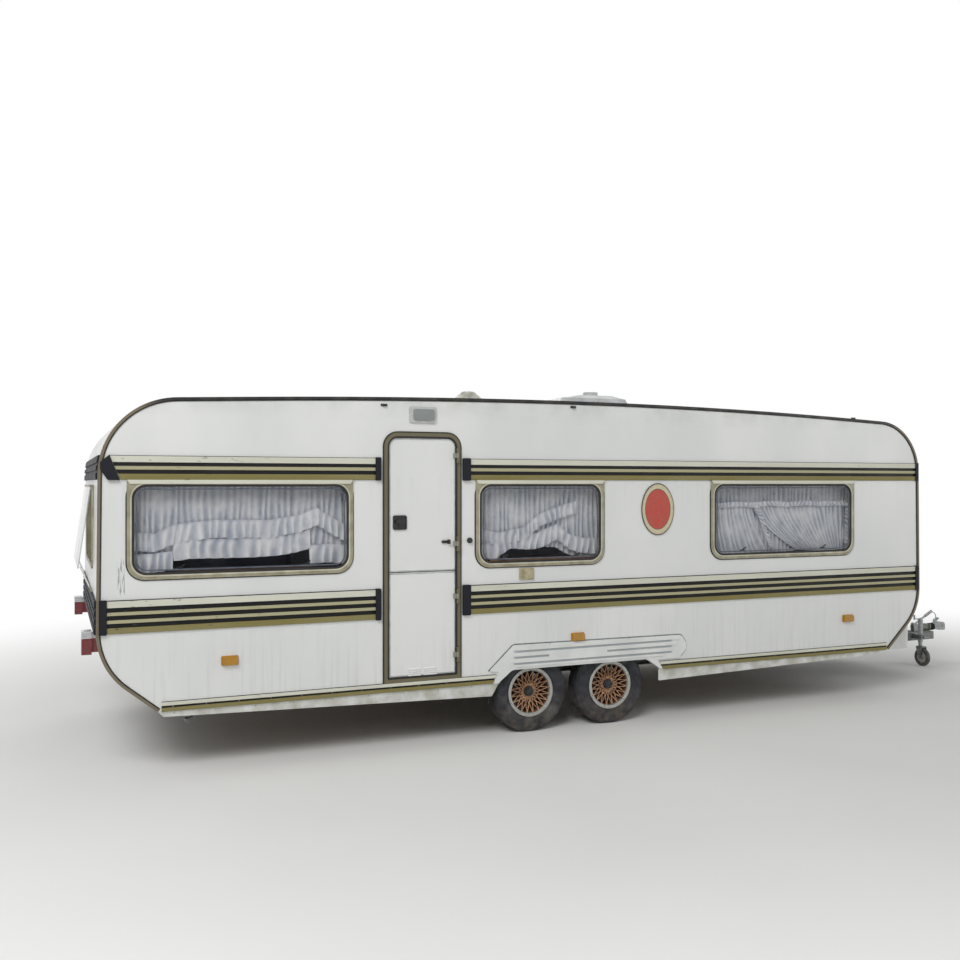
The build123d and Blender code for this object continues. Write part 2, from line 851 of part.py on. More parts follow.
def lattice_rim():
    dish = outline([
        (lip_y, lattice_outer + 1, 0),
        (hub_y, lattice_inner - 6, 0),
        (hub_y - lattice_depth, lattice_inner - 6, 0),
        (lip_y - lattice_depth, lattice_outer + 1, 0),
    ])
    net = on_side(lattice_sketch(), 1, 0, rim_flange_radius) & revolve(Plane.YZ * dish, wheel_axis)
    wheel = revolve(Plane.YZ * barrel_section, wheel_axis) + net
    wheel += wheel_disc(lattice_inner + 4, hub_y - 16, hub_y + 2)
    for index in range(boss_count):
        place = Rot(0, 0, index * 360 / boss_count) * Pos(boss_circle, 0)
        wheel += on_side(place * Circle(4.5), 1, hub_y, hub_y + 6)
    wheel += on_side(RegularPolygon(38, 6), 1, hub_y, hub_y + 18)
    wheel += wheel_disc(26, hub_y, hub_y + 24)
    wheel += wheel_disc(108, -78, 0)
    wheel += wheel_disc(60, 0, hub_y - 10)
    wheel -= wheel_disc(stub_radius + running_gap, -80, 6)
    return wheel


left_rim = lattice_rim()
rims = {"left": left_rim, "right": mirror(left_rim, Plane.XZ)}
for axle, station in wheel_stations.items():
    for side, name in ((-1, "right"), (1, "left")):
        place = Pos(station, side * wheel_y, tyre_radius)
        save("tyre_" + axle + "_" + name, place * tyre)
        save("rim_" + axle + "_" + name, place * rims[name])


# Overrun coupling: shaft housing on the nose plate, bellows, head with its grip

housing = rod((housing_rear, 0, shaft_z), (housing_front, 0, shaft_z), shaft_radius)
housing += upright(zone(housing_rear - 8, -60, housing_front - 10, 60), nose_top_z, nose_top_z + 8)
housing += upright(zone(housing_rear, -18, housing_front - 20, 18), nose_top_z, shaft_z)
housing += along(zone(-44, 330, 44, 374), housing_front - 14, housing_front)
save("overrun_housing", housing)

fold_count = 5
fold_pitch = (head_rear - housing_front) / fold_count
bellows_rows = [(housing_front, 0)]
for fold in range(fold_count):
    bellows_rows.append((housing_front + fold * fold_pitch, 28))
    bellows_rows.append((housing_front + (fold + 0.5) * fold_pitch, 38))
bellows_rows.append((head_rear, 28))
bellows_rows.append((head_rear, 0))
bellows_face = outline([(x, z, 0) for x, z in bellows_rows])
bellows = revolve(Plane.XZ * bellows_face, Axis((0, 0, 0), (1, 0, 0)))
save("bellows", Pos(0, 0, shaft_z) * bellows)

head_side = outline([
    (head_rear, 314, 8),
    (8440, 304, 10),
    (coupling_tip, 304, 12),
    (coupling_tip, 344, 30),
    (8500, 388, 25),
    (head_rear, 376, 8),
])
head_plan = outline([
    (head_rear, -30, 0),
    (8450, -38, 20),
    (coupling_tip, -38, 34),
    (coupling_tip, 38, 34),
    (8450, 38, 20),
    (head_rear, 30, 0),
])
head = across(head_side, -50, 50) & upright(head_plan, 250, 450)
head -= Pos(ball_x, 0, ball_z) * Sphere(ball_radius + 0.3)
head -= upright(Pos(ball_x, 0) * Circle(ball_radius + 0.3), 280, ball_z)
grip_side = outline([
    (8392, 370, 0),
    (8412, 372, 0),
    (8424, 398, 8),
    (8462, 420, 8),
    (8456, 436, 6),
    (8406, 418, 12),
])
head += across(grip_side, -15, 15)
save("coupling_head", head)


# Handbrake: toothed sector on the nose plate, lever with its grip and the thin release rod

lever_foot = (8118, 376)
lever_grip = (8275, 458)
lever_tip = (8365, 505)
sector = outline([
    (8098, nose_top_z, 0),
    (8140, nose_top_z, 0),
    (8146, 360, 10),
    (8132, 394, 14),
    (8104, 394, 14),
    (8092, 360, 10),
])
lever = across(sector, -26, -18) + across(sector, 18, 26)
lever += across(Pos(*lever_foot) * Circle(9), -26, 26)
lever += rod((lever_foot[0], 0, lever_foot[1]), (lever_grip[0], 0, lever_grip[1]), 10)
lever += rod((lever_grip[0], 0, lever_grip[1]), (lever_tip[0], 0, lever_tip[1]), 15)
release_rod = [(8362, 0, 500), (8404, 0, 486), (8424, 0, 462), (8430, 0, 424)]
for start, end in zip(release_rod, release_rod[1:]):
    lever += rod(start, end, 4)
    lever += Pos(*end) * Sphere(4)
save("handbrake_lever", lever - head)


# Jockey wheel: outer tube in the clamp, sliding stem, castering fork turned across and its roller

jockey_line = Pos(jockey_x, jockey_y)
jockey_tube = upright(jockey_line * Circle(jockey_tube_radius), jockey_tube_low, jockey_tube_high)
jockey_tube -= upright(Pos(jockey_x, jockey_y) * Circle(jockey_stem_radius + 0.4), 0, jockey_tube_high - 8)
crank_z = jockey_tube_high + 8
jockey_tube += upright(Pos(jockey_x, jockey_y) * Circle(9), jockey_tube_high - 8, crank_z + 8)
jockey_tube += rod((jockey_x, jockey_y, crank_z), (jockey_x - 82, jockey_y, crank_z), 6)
jockey_tube += rod((jockey_x - 82, jockey_y, crank_z - 6), (jockey_x - 82, jockey_y, crank_z + 40), 9)
save("jockey_tube", jockey_tube)

stem = upright(Pos(jockey_x, jockey_y) * Circle(jockey_stem_radius), jockey_stem_low, jockey_stem_high)
stem += upright(Pos(jockey_x, jockey_y) * Circle(jockey_pin_radius), jockey_crown_low, jockey_stem_low)
save("jockey_inner", stem)

roller_y = jockey_y - jockey_trail
crown = upright(rounded(jockey_x - 36, roller_y - 24, jockey_x + 36, jockey_y + 30, 12),
                jockey_crown_low, jockey_crown_high)
crown -= upright(Pos(jockey_x, jockey_y) * Circle(jockey_pin_radius + running_gap), 100, 250)
cheek = outline([
    (roller_y - 24, jockey_crown_low + 3, 0),
    (jockey_y + 26, jockey_crown_low + 3, 0),
    (roller_y + 18, 74, 14),
    (roller_y - 18, 74, 14),
])
for step in (-1, 1):
    low, high = sorted((jockey_x + step * 29, jockey_x + step * 35))
    crown += along(cheek, low, high)
axle_pin = Pos(roller_y, jockey_wheel_radius) * Circle(8)
crown += along(axle_pin, jockey_x - 39, jockey_x + 39)
save("jockey_fork", crown)

roller_section = outline([
    (-jockey_wheel_half, 8 + running_gap, 0),
    (-jockey_wheel_half, 26, 0),
    (-12, 30, 0),
    (-12, 56, 0),
    (-jockey_wheel_half + 3, 62, 0),
    (-jockey_wheel_half + 3, jockey_wheel_radius - 8, 0),
    (-12, jockey_wheel_radius, 0),
    (12, jockey_wheel_radius, 0),
    (jockey_wheel_half - 3, jockey_wheel_radius - 8, 0),
    (jockey_wheel_half - 3, 62, 0),
    (12, 56, 0),
    (12, 30, 0),
    (jockey_wheel_half, 26, 0),
    (jockey_wheel_half, 8 + running_gap, 0),
])
roller = revolve(Plane.XY * roller_section, Axis((0, 0, 0), (1, 0, 0)))
save("jockey_wheel", Pos(jockey_x, roller_y, jockey_wheel_radius) * roller)


# Corner steadies and their brackets

brackets = []
for name, pivot, way, side, droop in steady_table:
    base = side * steady_y
    low, high = base - steady_half, base + steady_half
    bracket = upright(zone(pivot - 60, low - 15, pivot + 60, high + 15), floor_bottom - 6, floor_bottom)
    for y_from in (low - 15, high + 7):
        ear = outline([
            (pivot - 30, floor_bottom - 4, 0),
            (pivot + 30, floor_bottom - 4, 0),
            (pivot + 16, steady_z - 16, 12),
            (pivot - 16, steady_z - 16, 12),
        ])
        bracket += across(ear, y_from, y_from + 8)
    bracket += across(Pos(pivot, steady_z) * Circle(steady_pin), low - 15, high + 15)
    brackets.append(bracket)
    tip = pivot + way * steady_length
    leg_side = outline([
        (pivot - way * 18, steady_z - 20, 10),
        (pivot - way * 18, steady_z + 20, 10),
        (tip - way * 20, steady_z + 12, 0),
        (tip - way * 20, steady_z - 12, 0),
    ])
    leg = across(leg_side, low, high)
    leg -= across(Pos(pivot, steady_z) * Circle(steady_pin + running_gap), low, high)
    leg += across(Pos(tip - way * 12, steady_z) * Circle(16), base - 35, base + 35)
    pivot_line = Axis((pivot, 0, steady_z), (0, way, 0))
    save("steady_" + name, leg.rotate(pivot_line, droop))
save("steady_brackets", *brackets)


# Drawbar locker with rounded corners, hinged at its rear top edge

def cornered_box(profile, half, front, radius):
    plan = outline([
        (locker_rear - 60, -half, 0),
        (front, -half, radius),
        (front, half, radius),
        (locker_rear - 60, half, 0),
    ])
    return across(profile, -half, half) & upright(plan, 200, 1100)


def locker_outline(inset, bottom, rear_top, front_top):
    return outline([
        (locker_rear + inset, bottom, 0),
        (locker_front - inset, bottom, 0),
        (locker_front - inset, front_top, 0),
        (locker_rear + inset, rear_top, 0),
    ])


locker_profile = locker_outline(0, locker_bottom, locker_rear_top, locker_front_top)
locker = cornered_box(locker_profile, locker_half, locker_front, locker_corner)
inner_half = locker_half - locker_skin
inner_front = locker_front - locker_skin
inner_corner = locker_corner - locker_skin
tray_floor = arm_top_z + locker_skin
above_tray = locker_outline(locker_skin, tray_floor, 1000, 1000)
below_tray = locker_outline(locker_skin, 200, arm_top_z, arm_top_z)
for cavity in (above_tray, below_tray):
    locker -= cornered_box(cavity, inner_half, inner_front, inner_corner)
locker -= across(zone(locker_rear - 10, 200, locker_rear + 20, arm_top_z), -inner_half, inner_half)
for arm in drawbar:
    locker -= arm

lid_gap = 4
lid_drop = 34
lid_skin = 6
lid_reach = locker_front + lid_gap
lid_cavity = outline([
    (locker_rear - 20, 500, 0),
    (lid_reach, 500, 0),
    (lid_reach, locker_front_top + lid_gap, 0),
    (locker_rear - 20, locker_rear_top + lid_gap + 5, 0),
])
lid_slope = (locker_rear_top - locker_front_top) / (locker_front - locker_rear)
lid_rear = locker_rear + 31
lid_rear_z = locker_rear_top + lid_gap - 31 * lid_slope
lid_outer = outline([
    (lid_rear, lid_rear_z - lid_drop, 0),
    (lid_rear, lid_rear_z + 22, 6),
    (lid_reach + lid_skin, locker_front_top + lid_gap + 20, 16),
    (lid_reach + lid_skin, locker_front_top - lid_drop, 0),
])
lid_grow = lid_gap + lid_skin
lid = cornered_box(lid_outer, locker_half + lid_grow, lid_reach + lid_skin, locker_corner + lid_grow)
lid -= cornered_box(lid_cavity, locker_half + lid_gap, lid_reach, locker_corner + lid_gap)

lid_hinge_rows = (-420, 0, 420)
lid_axis = Pos(lid_hinge_x, lid_hinge_z)
locker_strap = zone(locker_rear, locker_rear_top - 8, lid_hinge_x, locker_rear_top)
locker_strap += zone(lid_hinge_x - 10, locker_rear_top - 8, lid_hinge_x, lid_hinge_z)
lid_strap = zone(lid_hinge_x + 2, lid_hinge_z - 4, lid_rear + 14, lid_hinge_z + 3)
for middle in lid_hinge_rows:
    low = middle - lid_knuckle_length / 2
    high = middle + lid_knuckle_length / 2
    lid += across(lid_axis * Circle(lid_knuckle) + lid_strap, low, high)
    lid -= across(lid_axis * Circle(lid_pin + 0.3), low, high)
    for end in (low - 1 - lid_knuckle_length, high + 1):
        locker += across(lid_axis * Circle(lid_knuckle) + locker_strap, end, end + lid_knuckle_length)
    locker += across(lid_axis * Circle(lid_pin), low - 30, high + 30)
save("drawbar_locker", locker)
save("locker_lid", lid)


# Curtains and furniture that show through the glass

curtains = []
curtain_low = window_bottom + 60
curtain_high = window_top + 40
for side in (-1, 1):
    for bay, rear, front in window_bays:
        curtains.append(on_side(zone(rear + 10, curtain_low, front - 10, curtain_high), side, 1110, 1140))
for name, x_from in (("rear", 62), ("front", 6800)):
    half = end_window_halves[name] + 20
    curtains.append(along(zone(-half, curtain_low, half, curtain_high), x_from, x_from + 30))
save("curtains", *curtains)

bench = []
cushions = []
for side in (-1, 1):
    bench.append(on_side(zone(340, floor_top, 1760, 880), side, 520, inside - 4))
    cushions.append(on_side(rounded(345, 882, 1755, 1000, 30), side, 525, 1020))
    cushions.append(on_side(rounded(345, 1004, 1755, 1330, 30), side, 1000, 1100))
bench.append(across(zone(5300, floor_top, 6560, 850), -inside + 4, inside - 4))
cushions.append(across(rounded(5305, 852, 6600, 990, 30), -1100, 1100))
save("bed_boxes", *bench)
save("cushions", *cushions)

kitchen = on_side(zone(1990, floor_top, 2570, 1400), 1, 620, inside - 4)
sideboard = on_side(zone(2720, box_top, 3640, 1300), -1, 760, inside - 4)
save("cabinets", kitchen, sideboard)
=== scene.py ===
from math import cos, pi, radians, sin, sqrt

import bmesh
import bpy
from mathutils import Matrix, Vector, noise


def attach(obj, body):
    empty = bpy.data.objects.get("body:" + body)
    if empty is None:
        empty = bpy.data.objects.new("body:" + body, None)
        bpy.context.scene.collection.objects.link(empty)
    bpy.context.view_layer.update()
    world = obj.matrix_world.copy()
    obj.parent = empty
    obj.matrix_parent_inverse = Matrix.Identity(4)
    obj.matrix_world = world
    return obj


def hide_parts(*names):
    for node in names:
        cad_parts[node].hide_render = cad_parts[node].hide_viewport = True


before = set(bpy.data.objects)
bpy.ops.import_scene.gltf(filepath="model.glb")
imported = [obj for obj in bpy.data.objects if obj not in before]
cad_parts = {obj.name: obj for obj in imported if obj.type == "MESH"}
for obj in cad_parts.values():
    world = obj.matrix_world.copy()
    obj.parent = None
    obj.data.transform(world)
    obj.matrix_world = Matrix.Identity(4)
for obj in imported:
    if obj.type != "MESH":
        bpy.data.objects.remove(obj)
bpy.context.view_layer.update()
scene = bpy.context.scene
scene.view_settings.view_transform = "Standard"

# Stations are millimetres ahead of the rear wall, as on the drawing; Blender works in metres
rearWallToOrigin = 4225
wallFace = 1200  # from the middle to the skin of a side wall, mm
axles = {"rear": 3061, "front": 3747, "height": 298}


def station(x):
    return (x - rearWallToOrigin) / 1000


# Small helpers for materials

def hexColour(code):  # sRGB hex to the linear values that shaders use
    parts = [int(code[i:i + 2], 16) / 255 for i in (0, 2, 4)]
    return (*[c / 12.92 if c < 0.0405 else ((c + 0.055) / 1.055) ** 2.4 for c in parts], 1)


def addNode(material, kind, settings=None):
    # each setting is a value, a hex colour, or the node or socket that feeds it
    node = material.node_tree.nodes.new("ShaderNode" + kind)
    for name, value in (settings or {}).items():
        socket = next((s for i, s in enumerate(node.inputs) if s.enabled and name in (i, s.name)), None)
        if isinstance(value, bpy.types.Node):
            value = next(s for s in value.outputs if s.enabled)
        if socket is None:
            setattr(node, name, value)
        elif isinstance(value, bpy.types.NodeSocket):
            material.node_tree.links.new(value, socket)
        else:
            socket.default_value = hexColour(value) if isinstance(value, str) else value
    return node


def startMaterial(name):
    material = bpy.data.materials.new(name)
    material.use_nodes = True
    material.node_tree.nodes.clear()
    return material, addNode(material, "TexCoord").outputs["Object"]


def finishMaterial(material, tone, settings):
    shader = addNode(material, "BsdfPrincipled", {"Base Color": tone, **settings})
    addNode(material, "OutputMaterial", {"Surface": shader})
    return material


def patches(material, place, sizeMm, low=0.35, high=0.65, stretch=(1, 1, 1), detail=3):
    # soft patches of a real size, from 0 to 1
    spread = addNode(material, "Mapping", {"Scale": stretch, "Vector": place})
    cloud = addNode(material, "TexNoise", {"Scale": 1000 / sizeMm, "Detail": detail, "Vector": spread})
    return addNode(material, "MapRange", {"From Min": low, "From Max": high, "Value": cloud})


def layer(material, tone, colour, *covers):  # lays a colour over a tone where all its covers are 1
    share = covers[0]
    for cover in covers[1:]:
        share = addNode(material, "Math", {"operation": "MULTIPLY", 0: share, 1: cover})
    return addNode(material, "Mix", {"data_type": "RGBA", "Factor": share, "A": tone, "B": colour})


def zoneOf(material, value, start, end):  # 1 between two values, with soft ends
    up = addNode(material, "MapRange", {"From Min": start[0], "From Max": start[1], "Value": value})
    down = addNode(material, "MapRange", {"From Min": end[1], "From Max": end[0], "Value": value})
    return addNode(material, "Math", {"operation": "MULTIPLY", 0: up, 1: down})


def reachFrom(material, first, second):  # distance from an axis, out of the two distances across it
    squares = [addNode(material, "Math", {"operation": "MULTIPLY", 0: part, 1: part})
               for part in (first, second)]
    total = addNode(material, "Math", {"operation": "ADD", 0: squares[0], 1: squares[1]})
    return addNode(material, "Math", {"operation": "SQRT", 0: total})


def wear(material, place, grainMm, bumpMm, roughness, patchMm=120):
    # grain as bump, and a gloss that changes from patch to patch
    grain = patches(material, place, grainMm, 0.3, 0.7)
    bump = addNode(material, "Bump", {"Strength": 1.0, "Distance": bumpMm / 1000, "Height": grain})
    gloss = addNode(material, "MapRange", {"To Min": roughness[0], "To Max": roughness[1],
                                           "Value": patches(material, place, patchMm)})
    return {"Normal": bump, "Roughness": gloss}


def seenRays(material):  # 1 for what the camera, a reflection or a clear pane sees
    rays = addNode(material, "LightPath").outputs
    seen = rays["Is Camera Ray"]
    for kind in ("Is Glossy Ray", "Is Transmission Ray"):
        seen = addNode(material, "Math", {"operation": "MAXIMUM", 0: seen, 1: rays[kind]})
    return seen


# Camera at the photograph's place: eye height, 6.7 m out from the door side

view = {"eye": (-4.467, -7.908, 1.867), "turn": -23.13, "lens": 37.5, "shift": 0.0033, "clipEnd": 200}
camera = bpy.data.objects.new("camera", bpy.data.cameras.new("camera"))
scene.collection.objects.link(camera)
camera.location = view["eye"]
camera.rotation_euler = (radians(90), 0, radians(view["turn"]))
camera.data.lens = view["lens"]
camera.data.shift_y = view["shift"]
camera.data.clip_end = view["clipEnd"]
scene.camera = camera

studio = {"key": 640, "fill": 110, "rear": 260, "sky": 0.34, "floor": "F2F2F0", "floorShade": "ECECEA",
          "floorSize": 60, "fadeFrom": 3.4, "fadeTo": 8.5}
for name, power, spot, size, target in (
    ("keyLight", studio["key"], (-7.5, -8.0, 9.0), 6, (-0.4, -1.0, 1.2)),
    ("fillLight", studio["fill"], (8.5, -7.0, 4.0), 6, (1.0, -0.5, 1.2)),
    ("backLight", studio["rear"], (1.0, 9.0, 8.0), 8, (0, 0, 1.5)),
):
    lamp = bpy.data.objects.new(name, bpy.data.lights.new(name, "AREA"))
    lamp.data.shape = "DISK"
    lamp.data.size = size
    lamp.data.energy = power
    lamp.location = spot
    lamp.rotation_euler = (Vector(target) - Vector(spot)).to_track_quat("-Z", "Y").to_euler()
    scene.collection.objects.link(lamp)

world = bpy.data.worlds.new("studio")
world.use_nodes = True
scene.world = world
world.node_tree.nodes.clear()
strength = addNode(world, "MapRange", {"To Min": studio["sky"], "To Max": 1.0, "Value": seenRays(world)})
skyLight = addNode(world, "Background", {"Color": "FFFFFF", "Strength": strength})
addNode(world, "OutputWorld", {"Surface": skyLight})

bm = bmesh.new()
bmesh.ops.create_circle(bm, cap_ends=True, segments=64, radius=studio["floorSize"] / 2)
floorMesh = bpy.data.meshes.new("studioFloor")
bm.to_mesh(floorMesh)
bm.free()
floorPiece = bpy.data.objects.new("studioFloor", floorMesh)
scene.collection.objects.link(floorPiece)
floorFinish, floorPlace = startMaterial("paintedStudioFloor")
floorTone = layer(floorFinish, studio["floor"], studio["floorShade"], patches(floorFinish, floorPlace, 2600))
floorPaint = addNode(floorFinish, "BsdfPrincipled", {"Base Color": floorTone, "Roughness": 0.9})
# away from the caravan the floor turns to the same plain white as the background
away = addNode(floorFinish, "VectorMath", {"operation": "LENGTH", "Vector": floorPlace})
fade = addNode(floorFinish, "MapRange", {"interpolation_type": "SMOOTHSTEP", "From Min": studio["fadeFrom"],
                                         "From Max": studio["fadeTo"], "Value": away})
fadeSeen = addNode(floorFinish, "Math", {"operation": "MULTIPLY", 0: fade, 1: seenRays(floorFinish)})
plainWhite = addNode(floorFinish, "Emission", {"Color": "FFFFFF", "Strength": 1.0})
floorMix = addNode(floorFinish, "MixShader", {"Fac": fadeSeen, 1: floorPaint, 2: plainWhite})
addNode(floorFinish, "OutputMaterial", {"Surface": floorMix})
floorMesh.materials.append(floorFinish)
print("camera, lights and floor are set")

# Finishes, each for what the real surface is

paintedBody = {"white": "ECEDEB", "shade": "E2E4E3", "grime": "8E8B7C", "film": "7C806B", "scuff": "4A4C4E",
               "hinge": "8F8C80"}


def stoveEnamel(name, hinges=False):
    # aluminium sheet with stove enamel: an even soft gloss on a skin that is slightly wavy
    material, place = startMaterial(name)
    axes = addNode(material, "SeparateXYZ", {"Vector": place}).outputs
    tone = layer(material, paintedBody["white"], paintedBody["shade"],
                 patches(material, place, 700, stretch=(1, 1, 0.5)))
    # rain streaks 15 mm wide run down, strongest under the bands and towards the sill
    streak = patches(material, place, 90, 0.52, 0.78, stretch=(3.5, 3.5, 0.16), detail=4)
    lowPart = addNode(material, "MapRange", {"From Min": 1.1, "From Max": 0.4, "To Max": 0.20, "Value": axes["Z"]})
    underBand = addNode(material, "Math", {"operation": "MULTIPLY", 1: 0.08,
                                           0: zoneOf(material, axes["Z"], (1.5, 1.9), (1.9, 1.91))})
    amount = addNode(material, "Math", {"operation": "ADD", 0: lowPart, 1: underBand})
    tone = layer(material, tone, paintedBody["grime"], streak, amount)
    # green-grey film along the roof
    roofEdge = zoneOf(material, axes["Z"], (2.30, 2.47), (2.8, 2.9))
    tone = layer(material, tone, paintedBody["film"], roofEdge, patches(material, place, 160, 0.4, 0.75), 0.28)
    # old scuffs near the rear corner
    corner = zoneOf(material, axes["X"], (station(128), station(140)), (station(172), station(186)))
    height = zoneOf(material, axes["Z"], (1.15, 1.18), (1.34, 1.40))
    scratches = patches(material, place, 26, 0.53, 0.58, stretch=(3.2, 1, 0.28), detail=5)
    tone = layer(material, tone, paintedBody["scuff"], scratches, corner, height, 0.65)
    if hinges:  # the strap hinges stand proud of the leaf at its front edge
        proud = addNode(material, "Math", {"operation": "LESS_THAN", 0: axes["Y"], 1: -1.2035})
        front = addNode(material, "Math", {"operation": "GREATER_THAN", 0: axes["X"], 1: station(2404)})
        tone = layer(material, tone, paintedBody["hinge"], proud, front)
    wave = patches(material, place, 420, 0.2, 0.8, detail=1)
    peel = addNode(material, "Math", {"operation": "MULTIPLY", 1: 0.03,
                                      0: patches(material, place, 5, 0.2, 0.8, detail=1)})
    relief = addNode(material, "Math", {"operation": "ADD", 0: wave, 1: peel})
    gloss = addNode(material, "MapRange", {"To Min": 0.28, "To Max": 0.44, "Value": patches(material, place, 240)})
    return finishMaterial(material, tone, {
        "Normal": addNode(material, "Bump", {"Strength": 1, "Distance": 0.0012, "Height": relief}),
        "Roughness": gloss, "IOR": 1.5, "Coat Weight": 0.25, "Coat Roughness": 0.12})


def stripedStrip(name, rows, weather):
    # ribbed aluminium strip, each rib lacquered in its own colour: satin stripes with black lines between
    # rows: height in mm at which a colour starts, colour
    material, place = startMaterial(name)
    axes = addNode(material, "SeparateXYZ", {"Vector": place}).outputs
    low, high = rows[0][0] / 1000, rows[-1][0] / 1000 + 0.02
    ramp = addNode(material, "ValToRGB", {
        "Fac": addNode(material, "MapRange", {"From Min": low, "From Max": high, "Value": axes["Z"]})})
    stops = ramp.color_ramp
    stops.interpolation = "CONSTANT"
    stops.elements.remove(stops.elements[1])
    for index, (height, colour) in enumerate(rows):
        spot = min(1.0, max(0.0, (height / 1000 - low) / (high - low)))
        stop = stops.elements[0] if index == 0 else stops.elements.new(spot)
        stop.position = spot
        stop.color = hexColour(colour)
    brightness = addNode(material, "RGBToBW", {"Color": ramp})
    most = addNode(material, "Math", {"operation": "MINIMUM", 0: brightness, 1: 0.22})  # black rows stay black
    fade = patches(material, place, 260, 0.35, 0.7, stretch=(0.5, 1, 2))
    tone = layer(material, ramp, weather, fade, most)
    # lacquer flakes 4 to 30 mm long, mostly near the rear end
    flake = patches(material, place, 24, 0.66, 0.69, stretch=(0.35, 1, 1.6), detail=6)
    rearEnd = addNode(material, "MapRange", {"From Min": station(1200), "From Max": station(0),
                                             "To Min": 0.12, "To Max": 0.85, "Value": axes["X"]})
    tone = layer(material, tone, "4C4A44", flake, rearEnd)
    return finishMaterial(material, tone, {"IOR": 1.5, "Specular IOR Level": 0.3,
                                           **wear(material, place, 4, 0.10, (0.42, 0.62), 180)})


def wheelPaint(name):
    # cast alloy: bronze lacquer on the lattice, bare turned lip, dark cap, and painted shade behind, near-black
    # with rust-brown patches
    material, place = startMaterial(name)
    axes = addNode(material, "SeparateXYZ", {"Vector": place}).outputs
    middle, halfStep = (axles["front"] + axles["rear"]) / 2, (axles["front"] - axles["rear"]) / 2000
    fromMiddle = addNode(material, "Math", {"operation": "SUBTRACT", 0: axes["X"], 1: station(middle)})
    fromMiddle = addNode(material, "Math", {"operation": "ABSOLUTE", 0: fromMiddle})
    ahead = addNode(material, "Math", {"operation": "SUBTRACT", 0: fromMiddle, 1: halfStep})
    above = addNode(material, "Math", {"operation": "SUBTRACT", 0: axes["Z"], 1: axles["height"] / 1000})
    radius = reachFrom(material, ahead, above)
    outward = addNode(material, "Math", {"operation": "ABSOLUTE", 0: axes["Y"]})
    rust = patches(material, place, 16, 0.42, 0.68, detail=5)
    lip = layer(material, "B4B3AE", "7D7A74", patches(material, place, 9, 0.5, 0.75, detail=5))
    cap = layer(material, "34383B", "4A4A46", rust)
    # painted shade: all that lies behind the lattice is near-black, with rust-brown patches
    inside = layer(material, "1E1A18", "54301E", patches(material, place, 30, 0.4, 0.7))
    tone = layer(material, "B08A6B", "6A4433", rust)
    for colour, start, end, value in ((lip, 0.1560, 0.1575, radius), (cap, 0.0395, 0.0390, radius),
                                      (inside, 1.0885, 1.0865, outward)):
        cover = addNode(material, "MapRange", {"From Min": start, "From Max": end, "Value": value})
        tone = layer(material, tone, colour, cover)
    deep = cover
    clean = addNode(material, "MapRange", {"To Min": 0.75, "To Max": 0.25, "Value": rust})
    bare = addNode(material, "Math", {"operation": "SUBTRACT", 0: 1.0, 1: deep})
    return finishMaterial(material, tone, {
        "Metallic": addNode(material, "Math", {"operation": "MULTIPLY", 0: bare, 1: clean}),
        **wear(material, place, 2.5, 0.12, (0.38, 0.6), 14)})


def tyreRubber(name):  # vulcanised rubber: dark and dull, greyed by sun, with brown dust low on the sidewall
    material, place = startMaterial(name)
    axes = addNode(material, "SeparateXYZ", {"Vector": place}).outputs
    ground = addNode(material, "MapRange", {"From Min": 0.30, "From Max": 0.02, "Value": axes["Z"]})
    tone = layer(material, "28292E", "3D3E43", patches(material, place, 70, detail=5))
    tone = layer(material, tone, "7A6C58", ground, patches(material, place, 45, 0.35, 0.7), 0.55)
    tone = layer(material, tone, "7C7B78", patches(material, place, 120, 0.5, 0.8), 0.45)
    return finishMaterial(material, tone, {"Specular IOR Level": 0.35,
                                           **wear(material, place, 2, 0.15, (0.65, 0.9), 50)})


def galvanised(name, light, dark, rusty):  # hot-dip zinc: dull grey crystals 12 mm across, rust at the edges
    material, place = startMaterial(name)
    crystals = addNode(material, "TexVoronoi", {"Scale": 85.0, "Randomness": 1.0, "Vector": place})
    spangle = addNode(material, "SeparateColor", {"Color": crystals.outputs["Color"]})
    rust = patches(material, place, 70, 0.60 - 0.12 * rusty, 0.74, detail=6)
    tone = layer(material, layer(material, light, dark, spangle), "6E4A31", rust, 0.75)
    return finishMaterial(material, tone, {"Metallic": 0.65, **wear(material, place, 3, 0.15, (0.42, 0.68), 60)})


def mouldedLens(name, rows, grooveMm, settings):
    # moulded acrylic lens with flutes inside: a deep colour with fine bright lines
    # rows: height in mm at which a colour starts, colour
    material, place = startMaterial(name)
    axes = addNode(material, "SeparateXYZ", {"Vector": place}).outputs
    tone = rows[0][1]
    for height, colour in rows[1:]:
        step = addNode(material, "MapRange", {"From Min": (height - 1) / 1000, "From Max": (height + 1) / 1000,
                                              "Value": axes["Z"]})
        tone = layer(material, tone, colour, step)
    tone = layer(material, tone, "6B5A48", patches(material, place, 30, 0.45, 0.8), 0.25)
    flutes = addNode(material, "TexWave", {"Scale": 500 / grooveMm, "Distortion": 0.0, "bands_direction": "Z",
                                           "Vector": place})
    bump = addNode(material, "Bump", {"Strength": 1.0, "Distance": 0.0012, "Height": flutes.outputs["Fac"]})
    return finishMaterial(material, tone, {"Normal": bump, **settings})


def woodBoard(name, light, dark):  # lacquered plywood: straight brown grain 2 to 6 mm wide under a thin gloss
    material, place = startMaterial(name)
    grain = patches(material, place, 22, 0.35, 0.7, stretch=(0.12, 1, 1.8), detail=8)
    figure = patches(material, place, 140, 0.3, 0.7, stretch=(0.3, 1, 1))
    tone = layer(material, layer(material, light, dark, grain), "2E1B10", figure, 0.35)
    return finishMaterial(material, tone, {"Coat Weight": 0.2, **wear(material, place, 6, 0.08, (0.35, 0.5))})


